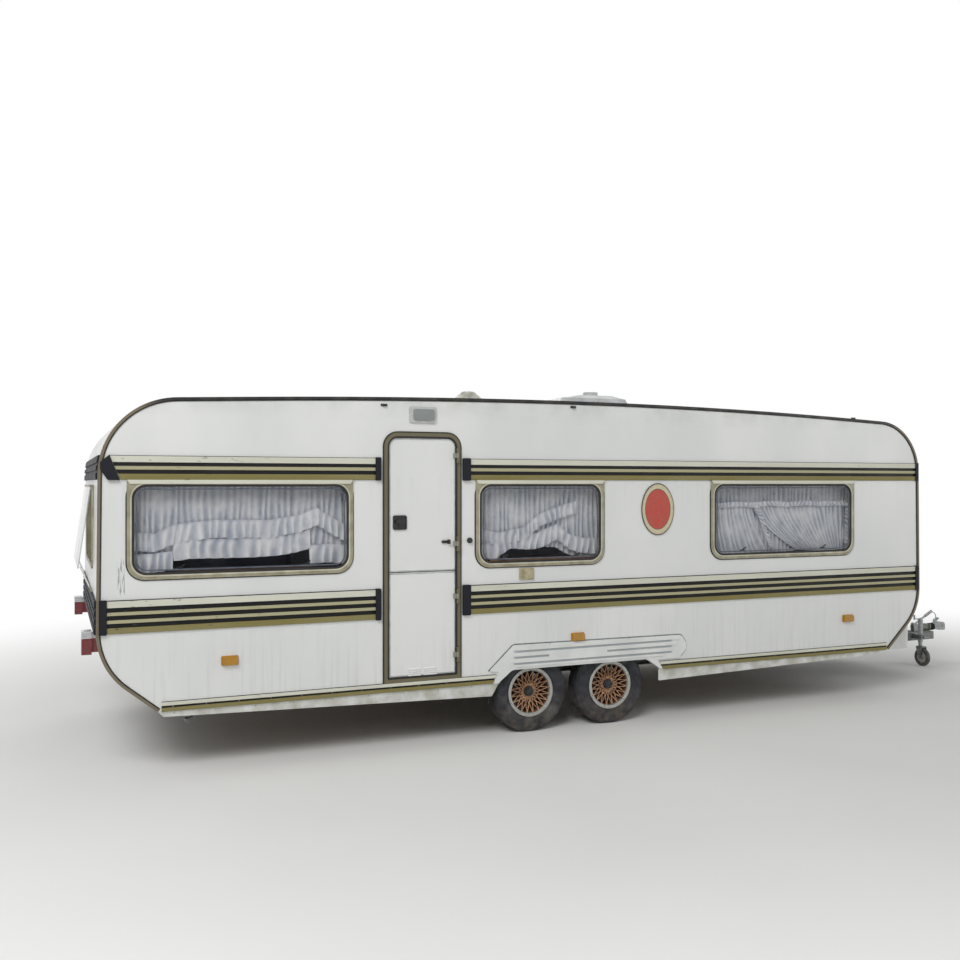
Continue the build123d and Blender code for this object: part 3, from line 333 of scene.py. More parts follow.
def wovenCloth(name, light, dark, threadMm):  # plain weave: a soft, dry face; drawn coarse enough to show
    material, place = startMaterial(name)
    threads = [addNode(material, "TexWave", {"Scale": 500 / threadMm, "Distortion": 0.4, "Detail": 1.0,
                                             "bands_direction": way, "Vector": place}).outputs["Fac"]
               for way in ("X", "Y")]
    weave = addNode(material, "Math", {"operation": "MULTIPLY", 0: threads[0], 1: threads[1]})
    tone = layer(material, layer(material, dark, light, weave), dark, patches(material, place, 160), 0.3)
    bump = addNode(material, "Bump", {"Distance": 0.0008, "Height": weave})
    return finishMaterial(material, tone, {"Normal": bump, "Roughness": 0.9, "Sheen Weight": 0.3})


def netCloth(name, least=0.62):  # gathered polyester net: white threads with air between, so the room shows
    material, place = startMaterial(name)
    tone = layer(material, "F7F7F8", "E6E8ED", patches(material, place, 90))
    # painted shade: the valleys of the folds, where the gather value is low, are tinted grey-blue
    gather = addNode(material, "Attribute", {"attribute_name": "gather"}).outputs["Fac"]
    foldShade = addNode(material, "Math", {"operation": "SUBTRACT", 0: 1.0, 1: gather})
    tone = layer(material, tone, "A3ABBD", foldShade, patches(material, place, 140, 0.25, 0.6))
    # a tulle mesh is 1.5 mm; 5 mm holes show it from this distance
    holes = addNode(material, "TexVoronoi", {"feature": "DISTANCE_TO_EDGE", "Scale": 200.0, "Vector": place})
    thread = addNode(material, "MapRange", {"From Min": 0.30, "From Max": 0.08, "To Min": least, "To Max": 1.0,
                                            "Value": holes})
    bump = addNode(material, "Bump", {"Distance": 0.002, "Strength": 0.6, "Height": patches(material, place, 60)})
    return finishMaterial(material, tone, {"Normal": bump, "Alpha": thread, "Roughness": 0.85, "Sheen Weight": 0.4})


def tintedAcrylic(name, tint, clear):  # smoke-tinted cast acrylic: dark, glossy, seen through
    material, place = startMaterial(name)
    film = patches(material, place, 120, 0.4, 0.75, stretch=(1, 1, 0.4))
    tone = layer(material, tint, "7C8088", film, 0.3)
    facing = addNode(material, "LayerWeight", {"Blend": 0.5}).outputs["Facing"]  # same from inside and outside
    slant = addNode(material, "Math", {"operation": "POWER", 0: facing, 1: 4.0})
    cover = addNode(material, "MapRange", {"To Min": clear, "To Max": 0.92, "Value": slant})
    dust = addNode(material, "Math", {"operation": "MULTIPLY", 0: film, 1: 0.03})
    bump = addNode(material, "Bump", {"Distance": 0.001, "Strength": 0.5,
                                      "Height": patches(material, place, 300, detail=1)})
    return finishMaterial(material, tone, {
        "Alpha": addNode(material, "Math", {"operation": "ADD", 0: cover, 1: dust}), "Normal": bump,
        "Roughness": addNode(material, "MapRange", {"To Min": 0.04, "To Max": 0.14, "Value": film}),
        "IOR": 1.49, "Specular IOR Level": 0.6})


def twoLevel(name, low, high, limitMm, roughness, darkFrom=None):
    # a section whose sunk face is one colour and raised face another, told apart by its distance out
    material, place = startMaterial(name)
    axes = addNode(material, "SeparateXYZ", {"Vector": place}).outputs
    outward = addNode(material, "Math", {"operation": "ABSOLUTE", 0: axes["Y"]})
    raised = addNode(material, "MapRange", {"From Min": (limitMm - 1) / 1000, "From Max": (limitMm + 1) / 1000,
                                            "Value": outward})
    tone = layer(material, low, high, raised)
    if darkFrom:
        upper = addNode(material, "MapRange", {"From Min": darkFrom / 1000 - 0.06, "From Max": darkFrom / 1000,
                                               "Value": axes["Z"]})
        tone = layer(material, tone, low, upper)
    tone = layer(material, tone, "77705F", patches(material, place, 70, 0.4, 0.8), 0.3)
    return finishMaterial(material, tone, {"IOR": 1.46, **wear(material, place, 3, 0.08, roughness, 60)})


def formedArch(name, face, sunk, fieldFrom, rows):
    # vacuum-formed sheet: glossy white fields, with painted shade in grey-blue on the sunk lines between them
    # fieldFrom: distance out in mm of the raised fields; rows: low and high edge in mm of each line
    material, place = startMaterial(name)
    axes = addNode(material, "SeparateXYZ", {"Vector": place}).outputs
    outward = addNode(material, "Math", {"operation": "ABSOLUTE", 0: axes["Y"]})
    low = addNode(material, "Math", {"operation": "LESS_THAN", 0: outward, 1: fieldFrom / 1000})
    lines = 0.0
    for bottom, top in rows:
        line = zoneOf(material, axes["Z"], ((bottom - 2) / 1000, bottom / 1000), (top / 1000, (top + 2) / 1000))
        lines = addNode(material, "Math", {"operation": "MAXIMUM", 0: line, 1: lines})
    ends = zoneOf(material, axes["X"], (station(2885), station(2900)), (station(4262), station(4285)))
    tone = layer(material, face, "DFE1DE", patches(material, place, 260))
    # painted shade: the sunk lines between the fields are grey-blue so the fields read as raised
    tone = layer(material, tone, sunk, low, lines, ends, 0.8)
    return finishMaterial(material, tone, {"IOR": 1.5, "Coat Weight": 0.2,
                                           **wear(material, place, 6, 0.1, (0.22, 0.42), 260)})


def windowFrame(name, light, dark, stay):
    # pressed ABS frame, gone yellow with a soft sheen; the rear pane's stays are white
    material, place = startMaterial(name)
    axes = addNode(material, "SeparateXYZ", {"Vector": place}).outputs
    tone = layer(material, light, dark, patches(material, place, 80))
    lowEdge = addNode(material, "MapRange", {"From Min": 1.34, "From Max": 1.25, "To Min": 0.12, "To Max": 0.42,
                                             "Value": axes["Z"]})
    tone = layer(material, tone, "6F6852", patches(material, place, 34, 0.48, 0.8, detail=5), lowEdge)
    behind = addNode(material, "Math", {"operation": "LESS_THAN", 0: axes["X"], 1: station(-14)})
    tone = layer(material, tone, stay, behind)
    return finishMaterial(material, tone, {"IOR": 1.52, **wear(material, place, 3, 0.05, (0.32, 0.48), 80)})


def ovalPlaque(name, field, border, line, centre, halfSize):
    # vitreous enamel: glossy red field, pale border between dark lines
    # centre: station and height in mm; halfSize: half length and half height
    material, place = startMaterial(name)
    axes = addNode(material, "SeparateXYZ", {"Vector": place}).outputs
    shares = []
    for axis, middle, half in (("X", station(centre[0]), halfSize[0]), ("Z", centre[1] / 1000, halfSize[1])):
        offset = addNode(material, "Math", {"operation": "SUBTRACT", 0: axes[axis], 1: middle})
        shares.append(addNode(material, "Math", {"operation": "DIVIDE", 0: offset, 1: half / 1000}))
    reach = reachFrom(material, *shares)
    tone = layer(material, field, "B5452F", patches(material, place, 60))
    for start, colour in ((0.760, line), (0.785, border), (0.960, line)):
        beyond = addNode(material, "Math", {"operation": "GREATER_THAN", 0: reach, 1: start})
        tone = layer(material, tone, colour, beyond)
    tone = layer(material, tone, "4A3A30", patches(material, place, 14, 0.66, 0.70, detail=5), 0.5)
    return finishMaterial(material, tone, {"IOR": 1.5, "Coat Weight": 0.5, "Coat Roughness": 0.08,
                                           **wear(material, place, 5, 0.06, (0.22, 0.38), 50)})


def parkingLever(name, steelTone, grip, gripFrom):
    # zinc-plated lever, dull with rust spots, and a moulded black grip on its upper end
    material, place = startMaterial(name)
    axes = addNode(material, "SeparateXYZ", {"Vector": place}).outputs
    tone = layer(material, steelTone, "6E4A31", patches(material, place, 24, 0.55, 0.72, detail=5), 0.7)
    isGrip = addNode(material, "Math", {"operation": "GREATER_THAN", 0: axes["Z"], 1: gripFrom / 1000})
    tone = layer(material, tone, grip, isGrip)
    metal = addNode(material, "MapRange", {"To Min": 0.6, "To Max": 0.0, "Value": isGrip})
    return finishMaterial(material, tone, {"Metallic": metal, **wear(material, place, 2, 0.08, (0.4, 0.62), 40)})


def castorWheel(name, across, height, hubRadius):  # dull solid rubber on a pressed hub; its axle's place in mm
    material, place = startMaterial(name)
    axes = addNode(material, "SeparateXYZ", {"Vector": place}).outputs
    offsets = [addNode(material, "Math", {"operation": "SUBTRACT", 0: axes[axis], 1: middle / 1000})
               for axis, middle in (("Y", across), ("Z", height))]
    isHub = addNode(material, "Math", {"operation": "LESS_THAN", 0: reachFrom(material, *offsets),
                                       1: hubRadius / 1000})
    rubber = layer(material, "3B3B3A", "66635C", patches(material, place, 40, detail=5))
    hub = layer(material, "B9BBB8", "86705A", patches(material, place, 14, 0.45, 0.75, detail=5))
    tone = layer(material, rubber, hub, isHub)
    return finishMaterial(material, tone, wear(material, place, 2, 0.12, (0.55, 0.8), 30))


def plainFinish(name, light, dark, roughness, patchMm=90, grainMm=3, bumpMm=0.05, settings=None):
    material, place = startMaterial(name)
    tone = layer(material, light, dark, patches(material, place, patchMm))
    return finishMaterial(material, tone, {**(settings or {}),
                                           **wear(material, place, grainMm, bumpMm, roughness, patchMm)})


olive, beige, cream, groove, sunBleached = "857C4A", "B5B08E", "DEDECF", "0B0C0D", "A8A48C"
finishes = {
    "enamel": stoveEnamel("stoveEnamelledAluminium"),
    "doorEnamel": stoveEnamel("stoveEnamelledDoor", hinges=True),
    "gelCoat": plainFinish("gelCoatedFibreglass", "EDEEEC", "DCDEDB", (0.22, 0.42), 260, 6, 0.1,
                           {"Coat Weight": 0.3}),  # polished mould face: brighter gloss than the sheet
    "skirt": plainFinish("splashedFibreglass", "E2E4E2", "B9B8AC", (0.3, 0.55), 120, 5, 0.1),  # dirty road side
    "upperStripes": stripedStrip("lacqueredStripUpper", [
        (1850, cream), (1888, olive), (1927, groove), (1952, beige), (1976, groove), (2000, cream),
        (2040, groove)], sunBleached),
    "lowerStripes": stripedStrip("lacqueredStripLower", [
        (910, olive), (953, groove), (980, beige), (1002, groove), (1030, beige), (1052, groove),
        (1080, cream), (1122, groove)], sunBleached),
    "sillStripes": stripedStrip("lacqueredStripSill", [
        (395, olive), (424, groove), (437, cream), (460, groove)], "9A967E"),
    "navyCap": plainFinish("mouldedPolypropylene", "0B0D17", "14161F", (0.5, 0.68), 60, 2, 0.08,
                           {"Specular IOR Level": 0.3}),  # satin, nearly black with a blue cast
    "edgeRail": twoLevel("awningRailSection", "16171A", "7A6F5B", 1206, (0.4, 0.6), darkFrom=2400),
    # 9FA6AB is painted shade for the lines between the arch moulding's fields
    "archSheet": formedArch("vacuumFormedAbs", "F0F1EF", "9FA6AB", 1214, [(522, 538), (568, 584), (612, 628)]),
    "frameBeige": windowFrame("agedAbsFrame", "A9A48C", "8F8A72", "E3E5E3"),
    "doorFrame": twoLevel("doorRubberAndFrame", "17181A", "6F684F", 1207, (0.45, 0.6)),
    "acrylic": tintedAcrylic("tintedAcrylicPane", "2A3242", 0.06),
    "dome": plainFinish("opalAcrylic", "D7DADB", "B7BBB8", (0.2, 0.35), 160, 4, 0.05,
                        {"Coat Weight": 0.4, "Transmission Weight": 0.15}),  # milky and glossy
    "vent": plainFinish("agedPolystyrene", "D8D6CC", "A7A597", (0.5, 0.7), 60, 3, 0.1),  # gone cream and chalky
    "amber": mouldedLens("amberAcrylicLens", [(0, "CF9312")], 4, {"Roughness": 0.25, "Coat Weight": 0.5}),
    "redLens": mouldedLens("redAndClearAcrylicLens", [(0, "7D1418"), (884, "D9DADB")], 5,
                           {"Roughness": 0.22, "Coat Weight": 0.5}),
    "greyLens": twoLevel("porchLampMoulding", "C9CBC9", "8E9493", 1216, (0.25, 0.4)),
    "beigeBox": plainFinish("agedAbsCover", "BEB493", "A39A7C", (0.4, 0.55), 40, 3, 0.06),  # yellowed, soft sheen
    "plaque": ovalPlaque("enamelledPlaque", "BE3524", "CEC5A4", "33281F", (4147, 1662), (150, 205)),
    "lever": parkingLever("platedLever", "9FA3A1", "1A1A1B", 560),
    "castor": castorWheel("castorRubber", -275, 90, 56),
    "zinc": galvanised("hotDipGalvanisedSteel", "8C9090", "6A6E6F", 0.6),
    "zincClean": galvanised("zincPlatedCasting", "B4B8B8", "8E9293", 0.1),
    "blackSteel": plainFinish("chassisPaint", "1F1F1F", "3A332C", (0.5, 0.75), 90, 4, 0.2),  # brushed on, dusty
    "castHousing": plainFinish("weatheredCasting", "93958F", "6C6860", (0.5, 0.75), 50, 3, 0.25,
                               {"Metallic": 0.5}),  # sand-cast: rough grey with a dull shine
    "frameLip": plainFinish("creamAbsLip", "D6D2BF", "BFB9A2", (0.3, 0.45), 80, 3, 0.04),  # paler than the frame
    "archShadeLine": plainFinish("paintedShadeLine", "858A8E", "666A6C", (0.55, 0.75), 50, 2, 0.05),  # painted shade line: grey and dull
    "rubber": plainFinish("mouldedRubber", "1A1A1B", "2C2B2A", (0.6, 0.85), 40, 2, 0.1),  # black, hardly shines
    "bronze": wheelPaint("bronzeLacqueredAlloy"),
    "net": netCloth("gatheredNet"),
    "ruffle": netCloth("sewnRuffleNet", 0.86),
    "seatCloth": wovenCloth("seatWeave", "6E5440", "3A2A20", 6),
    "wood": woodBoard("lacqueredPlywood", "A87C50", "704A2B"),
    "floorBoard": woodBoard("floorPlywood", "8A6C48", "5E4730"),
    "blackPlastic": plainFinish("blackAbs", "141416", "242428", (0.3, 0.5), 40, 2, 0.06),  # moulded, soft gloss
    "paneEdge": plainFinish("polishedAcrylicEdge", "5C6470", "474E59", (0.3, 0.45), 60, 3, 0.02),  # lighter rim
    "leafRim": plainFinish("anodisedLeafEdge", "C9CCCB", "B0B3B1", (0.3, 0.45), 60, 2, 0.04,
                           {"Metallic": 0.4}),  # anodised aluminium: pale line with a satin shine
    "screws": plainFinish("zincPlatedScrews", "A9A9A2", "6F6A60", (0.35, 0.6), 20, 1.5, 0.05,
                          {"Metallic": 0.7}),  # small dull points
    "tyre": tyreRubber("weatheredTyreRubber"),
    "wheelBox": plainFinish("bituminousCoating", "161616", "2B2723", (0.7, 0.9), 90, 5, 0.4),  # sprayed, pitted
}

nodeFinish = {
    "enamel": ("wall_right", "wall_left", "roof_panel", "front_wall", "rear_wall"),
    "doorEnamel": ("door_upper", "door_lower"), "archSheet": ("arch_mouldings",),
    "gelCoat": ("drawbar_locker", "locker_lid", "roof_light_frame"),
    "skirt": ("skirts",), "upperStripes": ("band_upper",), "lowerStripes": ("band_lower",),
    "sillStripes": ("trim_sill",), "navyCap": ("band_caps",), "edgeRail": ("edge_rails",),
    "frameBeige": ("window_frames",), "doorFrame": ("door_frame",), "acrylic": ("window_panes",),
    "dome": ("roof_light_dome",), "vent": ("roof_vent",), "amber": ("marker_lamps",),
    "redLens": ("rear_lamps",), "greyLens": ("porch_lamp",), "beigeBox": ("service_cover",),
    "plaque": ("side_plaque",), "castHousing": ("overrun_housing",), "lever": ("handbrake_lever",),
    "zinc": ("chassis_rails", "cross_members", "drawbar_arms", "steady_brackets", "steady_rear_right",
             "steady_rear_left", "steady_front_right", "steady_front_left", "jockey_fork"),
    "zincClean": ("coupling_head", "jockey_tube", "jockey_inner"), "castor": ("jockey_wheel",),
    "blackSteel": ("axle_rear", "axle_front"), "wheelBox": ("wheel_boxes",),
    "rubber": ("bellows", "tyre_rear_right", "tyre_rear_left", "tyre_front_right", "tyre_front_left"),
    "bronze": ("rim_rear_right", "rim_rear_left", "rim_front_right", "rim_front_left"),
    "wood": ("bed_boxes", "cabinets"), "floorBoard": ("floor_panel",), "blackPlastic": ("door_lock",),
    "net": ("curtains",), "seatCloth": ("cushions",),
}
for finish, nodes in nodeFinish.items():
    for name in nodes:
        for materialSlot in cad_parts[name].material_slots:
            materialSlot.material = finishes[finish]
print("finishes are on the frame's parts")

# Making pieces: local x runs along a wall, y up it and z out of it

facings = {
    "right": Matrix(((1, 0, 0), (0, 0, -1), (0, 1, 0))), "left": Matrix(((-1, 0, 0), (0, 0, 1), (0, 1, 0))),
    "rear": Matrix(((0, 0, -1), (-1, 0, 0), (0, 1, 0))), "front": Matrix(((0, 0, 1), (1, 0, 0), (0, 1, 0))),
}


def onWall(side, along, height, out):  # millimetres: station or distance across, height, distance out
    if side in ("right", "left"):
        spot = (station(along), (out if side == "left" else -out) / 1000, height / 1000)
    else:
        spot = (station(out), along / 1000, height / 1000)
    return Matrix.Translation(spot) @ facings[side].to_4x4()


def finishPiece(name, bm, finish, body="caravan", sharp=35):
    bmesh.ops.remove_doubles(bm, verts=bm.verts, dist=0.00002)
    bmesh.ops.recalc_face_normals(bm, faces=bm.faces)
    mesh = bpy.data.meshes.new(name)
    bm.to_mesh(mesh)
    bm.free()
    mesh.shade_smooth()
    mesh.set_sharp_from_angle(angle=radians(sharp))
    mesh.materials.append(finishes[finish])
    piece = bpy.data.objects.new(name, mesh)
    scene.collection.objects.link(piece)
    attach(piece, body)
    return piece


def roundedPlate(bm, size, radius, segments=8, topOnly=False):  # a flat face with rounded corners, in metres
    made = bmesh.ops.create_grid(bm, x_segments=1, y_segments=1, size=0.5)["verts"]
    bmesh.ops.scale(bm, vec=(size[0], size[1], 1), verts=made)
    corners = [vert for vert in made if vert.co.y > 0 or not topOnly]
    bmesh.ops.bevel(bm, geom=corners, affect="VERTICES", offset=radius, segments=segments, profile=0.5,
                    material=-1)
    return bm.faces[:][0]


def raiseFaces(bm, faces, depth, edge):  # gives faces a thickness and breaks the outer edges
    made = bmesh.ops.extrude_face_region(bm, geom=list(faces), use_keep_orig=True)["geom"]
    verts = [item for item in made if isinstance(item, bmesh.types.BMVert)]
    bmesh.ops.translate(bm, vec=(0, 0, depth), verts=verts)
    top = {item for item in made if isinstance(item, bmesh.types.BMFace)}
    rim = [e for face in top for e in face.edges if sum(f in top for f in e.link_faces) == 1]
    if edge:
        bmesh.ops.bevel(bm, geom=list(set(rim)), affect="EDGES", offset=edge, segments=2, profile=0.5,
                        material=-1)


def ringOn(bm, place, sizeMm, radiusMm, widthMm, depthMm, edgeMm=1.5, topOnly=False):  # a frame of one width
    part = bmesh.new()
    face = roundedPlate(part, (sizeMm[0] / 1000, sizeMm[1] / 1000), radiusMm / 1000, topOnly=topOnly)
    ring = bmesh.ops.inset_region(part, faces=[face], thickness=widthMm / 1000, use_even_offset=True,
                                  use_boundary=True)["faces"]
    bmesh.ops.delete(part, geom=[face], context="FACES")
    raiseFaces(part, ring, depthMm / 1000, edgeMm / 1000)
    addPart(bm, part, place)


def boxOn(bm, place, sizeMm, edgeMm=1.5):  # a block that stands on its place
    part = bmesh.new()
    bmesh.ops.create_cube(part, size=1)
    bmesh.ops.translate(part, vec=(0, 0, 0.5), verts=part.verts)
    bmesh.ops.scale(part, vec=[s / 1000 for s in sizeMm], verts=part.verts)
    bmesh.ops.bevel(part, geom=part.edges[:], affect="EDGES", offset=edgeMm / 1000, segments=2, profile=0.5,
                    material=-1)
    addPart(bm, part, place)


def discOn(bm, place, radiusMm, topRadiusMm, heightMm, sides, edgeMm=0):  # a knob, stem or screw head
    part = bmesh.new()
    bmesh.ops.create_cone(part, cap_ends=True, segments=sides, radius1=radiusMm / 1000,
                          radius2=topRadiusMm / 1000, depth=heightMm / 1000)
    if edgeMm:
        rims = [e for e in part.edges if e.calc_face_angle(0) > 0.8]
        bmesh.ops.bevel(part, geom=rims, affect="EDGES", offset=edgeMm / 1000, segments=3, profile=0.5,
                        material=-1)
    bmesh.ops.translate(part, vec=(0, 0, heightMm / 2000), verts=part.verts)
    addPart(bm, part, place)


def addPart(bm, part, place):
    bmesh.ops.transform(part, matrix=place, verts=part.verts)
    mesh = bpy.data.meshes.new("part")
    part.to_mesh(mesh)
    part.free()
    bm.from_mesh(mesh)
    bpy.data.meshes.remove(mesh)


# Window glazing: seals, the dark line round each frame, its cream lip, the panes' edge and the catches

windowBays = [(188, 1665), (2588, 3659), (4652, 6145)]
glazing = {"low": 1250, "high": 1889, "frame": 30, "corner": 92}
windowTrim = {  # mm: grow is added to the opening's length and height, round to its corners
    "window_seals": {"finish": "rubber", "slot": "black_rubber", "out": 1205.5, "grow": 1, "round": 0,
                     "section": (15, 7, 1.5)},
    "frame_lines": {"finish": "rubber", "slot": "black_rubber", "out": wallFace, "grow": 75, "round": 25,
                    "section": (9, 5, 1.5)},
    "frame_lips": {"finish": "frameLip", "slot": "window_frame", "out": 1210.5, "grow": 20, "round": 9,
                   "section": (9, 3.5, 1.5)},
    "pane_edges": {"finish": "paneEdge", "slot": "window_pane", "out": 1205.5, "grow": -50, "round": -25,
                   "section": (9, 3, 1)},
}
for name, trim in windowTrim.items():
    bm = bmesh.new()
    for side in ("right", "left"):
        for rear, front in windowBays:
            size = [length - 2 * glazing["frame"] + trim["grow"]
                    for length in (front - rear, glazing["high"] - glazing["low"])]
            place = onWall(side, (rear + front) / 2, (glazing["high"] + glazing["low"]) / 2, trim["out"])
            ringOn(bm, place, size, glazing["corner"] + trim["round"], *trim["section"])
    finishPiece(name, bm, trim["finish"])

catches = {"shares": (0.22, 0.78), "height": 1312, "out": 1178, "base": (46, 15, 13), "handle": (52, 9, 8)}
bm = bmesh.new()
for side in ("right", "left"):
    for rear, front in windowBays:
        for share in catches["shares"]:
            base = onWall(side, rear + (front - rear) * share, catches["height"], catches["out"])
            boxOn(bm, base, catches["base"], 3)
            boxOn(bm, base @ Matrix.Translation((0.012, 0.016, 0.004)) @ Matrix.Rotation(0.5, 4, "Z"),
                  catches["handle"], 2)
finishPiece("window_catches", bm, "blackPlastic")
print("windows are glazed")

# Door trim: outer and inner seals on the frame, pale rims on the two leaves

door = {"middle": 2179, "centre": 1343, "long": 574, "tall": 1760, "corner": 100, "split": 1237}
doorSeals = {"outer": {"out": 1200.3, "grow": 20, "round": 10, "section": (12, 8, 1.5)},
             "inner": {"out": 1206, "grow": -49, "round": -24, "section": (11, 7, 1.5)}}
leafRim = {"out": 1200.2, "grow": -76, "round": -38, "section": (9, 3, 1), "cutFrom": 4, "crossFrom": 9,
           "cross": (494, 8, 3)}


def doorRing(bm, trim):
    ringOn(bm, onWall("right", door["middle"], door["centre"], trim["out"]),
           (door["long"] + trim["grow"], door["tall"] + trim["grow"]), door["corner"] + trim["round"],
           *trim["section"], topOnly=True)


bm = bmesh.new()
for seal in doorSeals.values():
    doorRing(bm, seal)
finishPiece("door_seals", bm, "rubber")

for leaf, body, way in (("upper", "door_top_leaf", 1), ("lower", "door_bottom_leaf", -1)):
    bm = bmesh.new()
    doorRing(bm, leafRim)
    bmesh.ops.bisect_plane(bm, geom=bm.verts[:] + bm.edges[:] + bm.faces[:],
                           plane_co=(0, 0, (door["split"] + way * leafRim["cutFrom"]) / 1000),
                           plane_no=(0, 0, 1), clear_inner=way > 0, clear_outer=way < 0)
    bmesh.ops.holes_fill(bm, edges=[e for e in bm.edges if e.is_boundary], sides=0)
    crossRail = onWall("right", door["middle"], door["split"] + way * leafRim["crossFrom"], leafRim["out"])
    boxOn(bm, crossRail, leafRim["cross"], 1)
    finishPiece("door_rim_" + leaf, bm, "leafRim", body)
print("door is trimmed")

# Small fittings on the walls: awning hooks, the open door's knob, rail feet, painted shade lines round the arches,
# lock and screws

fittings = {"hooks": [(1892, 2415), (3392, 2445), (4617, 2462), (6143, 2428)], "plate": (48, 17, 6),
            "hook": (30, 9, 11), "knobAt": (2540, 1452), "knob": (22.5, 18, 22)}
bm = bmesh.new()
for side in ("right", "left"):
    for x, z in fittings["hooks"]:
        boxOn(bm, onWall(side, x, z, wallFace), fittings["plate"], 2)
        boxOn(bm, onWall(side, x, z - 6, 1205), fittings["hook"], 3)
discOn(bm, onWall("right", *fittings["knobAt"], wallFace), *fittings["knob"], 24, edgeMm=4)
finishPiece("wall_fittings", bm, "blackPlastic")

# the rails' feet close the ends of the sill trim
railFoot = {"rail": (114, 18, 10.6), "seal": (114, 27, 4.4), "out": 1199.8,
            "front": ((6578.5, 445.2), (6575.4, 448.5), 43.0), "rear": ((336.3, 442.4), (339.1, 445.9), -39.0)}
bm = bmesh.new()
for side in ("right", "left"):
    for end in ("front", "rear"):
        railAt, sealAt, slope = railFoot[end]
        turn = Matrix.Rotation(radians(slope if side == "right" else -slope), 4, "Z")
        boxOn(bm, onWall(side, *railAt, railFoot["out"]) @ turn, railFoot["rail"], 1)
        boxOn(bm, onWall(side, *sealAt, railFoot["out"]) @ turn, railFoot["seal"], 0.5)
finishPiece("rail_feet", bm, "edgeRail")

# a painted shade line round the upper edge of each arch moulding: a grey strip on the wall where the moulding's
# edge throws its shade
archLine = {"points": [(2678, 486), (2886, 677), (4368, 667), (4419, 597), (4419, 548), (4350, 470)],
            "round": 20, "wide": 9, "depth": 3, "edge": 0.8, "low": 490, "out": 1199.8}
bm = bmesh.new()
for side in ("right", "left"):
    part = bmesh.new()
    part.faces.new([part.verts.new((x / 1000, z / 1000, 0)) for x, z in archLine["points"]])
    bmesh.ops.bevel(part, geom=part.verts[:], affect="VERTICES", offset=archLine["round"] / 1000, segments=5,
                    profile=0.5, material=-1)
    plate = part.faces[:][0]
    line = bmesh.ops.inset_region(part, faces=[plate], thickness=archLine["wide"] / 1000, use_even_offset=True,
                                  use_boundary=True)["faces"]
    bmesh.ops.delete(part, geom=[plate], context="FACES")
    raiseFaces(part, line, archLine["depth"] / 1000, archLine["edge"] / 1000)
    bmesh.ops.bisect_plane(part, geom=part.verts[:] + part.edges[:] + part.faces[:],
                           plane_co=(0, archLine["low"] / 1000, 0), plane_no=(0, 1, 0), clear_inner=True)
    bmesh.ops.holes_fill(part, edges=[e for e in part.edges if e.is_boundary], sides=0)
    if side == "left":
        bmesh.ops.scale(part, vec=(-1, 1, 1), verts=part.verts)
    addPart(bm, part, onWall(side, 0, 0, archLine["out"]))
finishPiece("arch_shade_line", bm, "archShadeLine")

# key lock in the middle of the locker's lid
lock = {"height": 744, "face": 7434.8, "barrel": (16, 14, 6), "slotFace": 7440, "slot": (3, 12, 2.5)}
bm = bmesh.new()
discOn(bm, onWall("front", 0, lock["height"], lock["face"]), *lock["barrel"], 24)
boxOn(bm, onWall("front", 0, lock["height"], lock["slotFace"]), lock["slot"], 0.6)
finishPiece("locker_lock", bm, "screws", "lid")

screws = {"head": (4.2, 2.604, 2.2),  # stations, height and distance out of each row
          "rows": [(range(470, 2740, 210), 430.5, 1204), (range(4250, 6500, 210), 430.5, 1204),
                   ([2960], 650, 1209), (range(3190, 4340, 230), 661, 1209),
                   (range(480, 2700, 260), 385, 1195.5), (range(4230, 6320, 260), 385, 1195.5)]}
bm = bmesh.new()
for side in ("right", "left"):
    for stations, height, out in screws["rows"]:
        for x in stations:
            discOn(bm, onWall(side, x, height, out), *screws["head"], 10)
finishPiece("trim_screws", bm, "screws")
print("fittings are on")

# Tyres: worn road tread, moulded rings on the sidewalls

tyre = {"steps": 84, "blockHeight": 7.0, "blockTaper": 2.2, "across": 1075.5, "wear": 0.4,
        "blockSpans": [(60, 35), (29, 4)],
        # half section from the bead to the middle of the tread: distance from the wheel's middle, radius
        "section": [(64, 167), (66, 186), (70, 193), (75, 199), (76.4, 203), (79.5, 214), (81.6, 226),
                    (82.4, 236), (80.2, 240), (80.6, 246), (80.9, 252), (80.0, 258), (77.4, 270), (72.5, 281.5),
                    (66, 288.2), (60, 290.5), (35, 290.5), (29, 290.5), (4, 290.5), (0, 290.5)]}
valve = {"stem": (4, 3, 30), "from": (0.072, 0.148), "turn": {"rear": 0.6, "front": 2.4}}


def tyrePiece(name, place, body, node):
    bm = bmesh.new()
    verts = [bm.verts.new((0, y / 1000, r / 1000)) for y, r in tyre["section"]]
    edges = [bm.edges.new(pair) for pair in zip(verts, verts[1:])]
    bmesh.ops.spin(bm, geom=verts + edges, cent=(0, 0, 0), axis=(0, 1, 0), angle=2 * pi, steps=tyre["steps"],
                   use_merge=True)
    bmesh.ops.recalc_face_normals(bm, faces=bm.faces)
    blocks = []
    for face in bm.faces:
        middle = face.calc_center_median()
        for wide, narrow in tyre["blockSpans"]:
            if narrow / 1000 < middle.y < wide / 1000 and sqrt(middle.x ** 2 + middle.z ** 2) > 0.289:
                blocks.append(face)
    outward = blocks[0].normal.dot(blocks[0].calc_center_median()) > 0
    bmesh.ops.inset_individual(bm, faces=blocks, thickness=tyre["blockTaper"] / 1000,
                               depth=tyre["blockHeight"] / 1000 * (1 if outward else -1))
    bmesh.ops.mirror(bm, geom=bm.verts[:] + bm.edges[:] + bm.faces[:], axis="Y", merge_dist=0.0001)
    for vert in bm.verts:  # road wear and settling: a few tenths of a millimetre
        vert.co += vert.co.normalized() * tyre["wear"] / 1000 * noise.noise(vert.co * 24)
    bmesh.ops.transform(bm, matrix=place, verts=bm.verts)
    piece = finishPiece(name, bm, "tyre", body, 28)
    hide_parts(node)


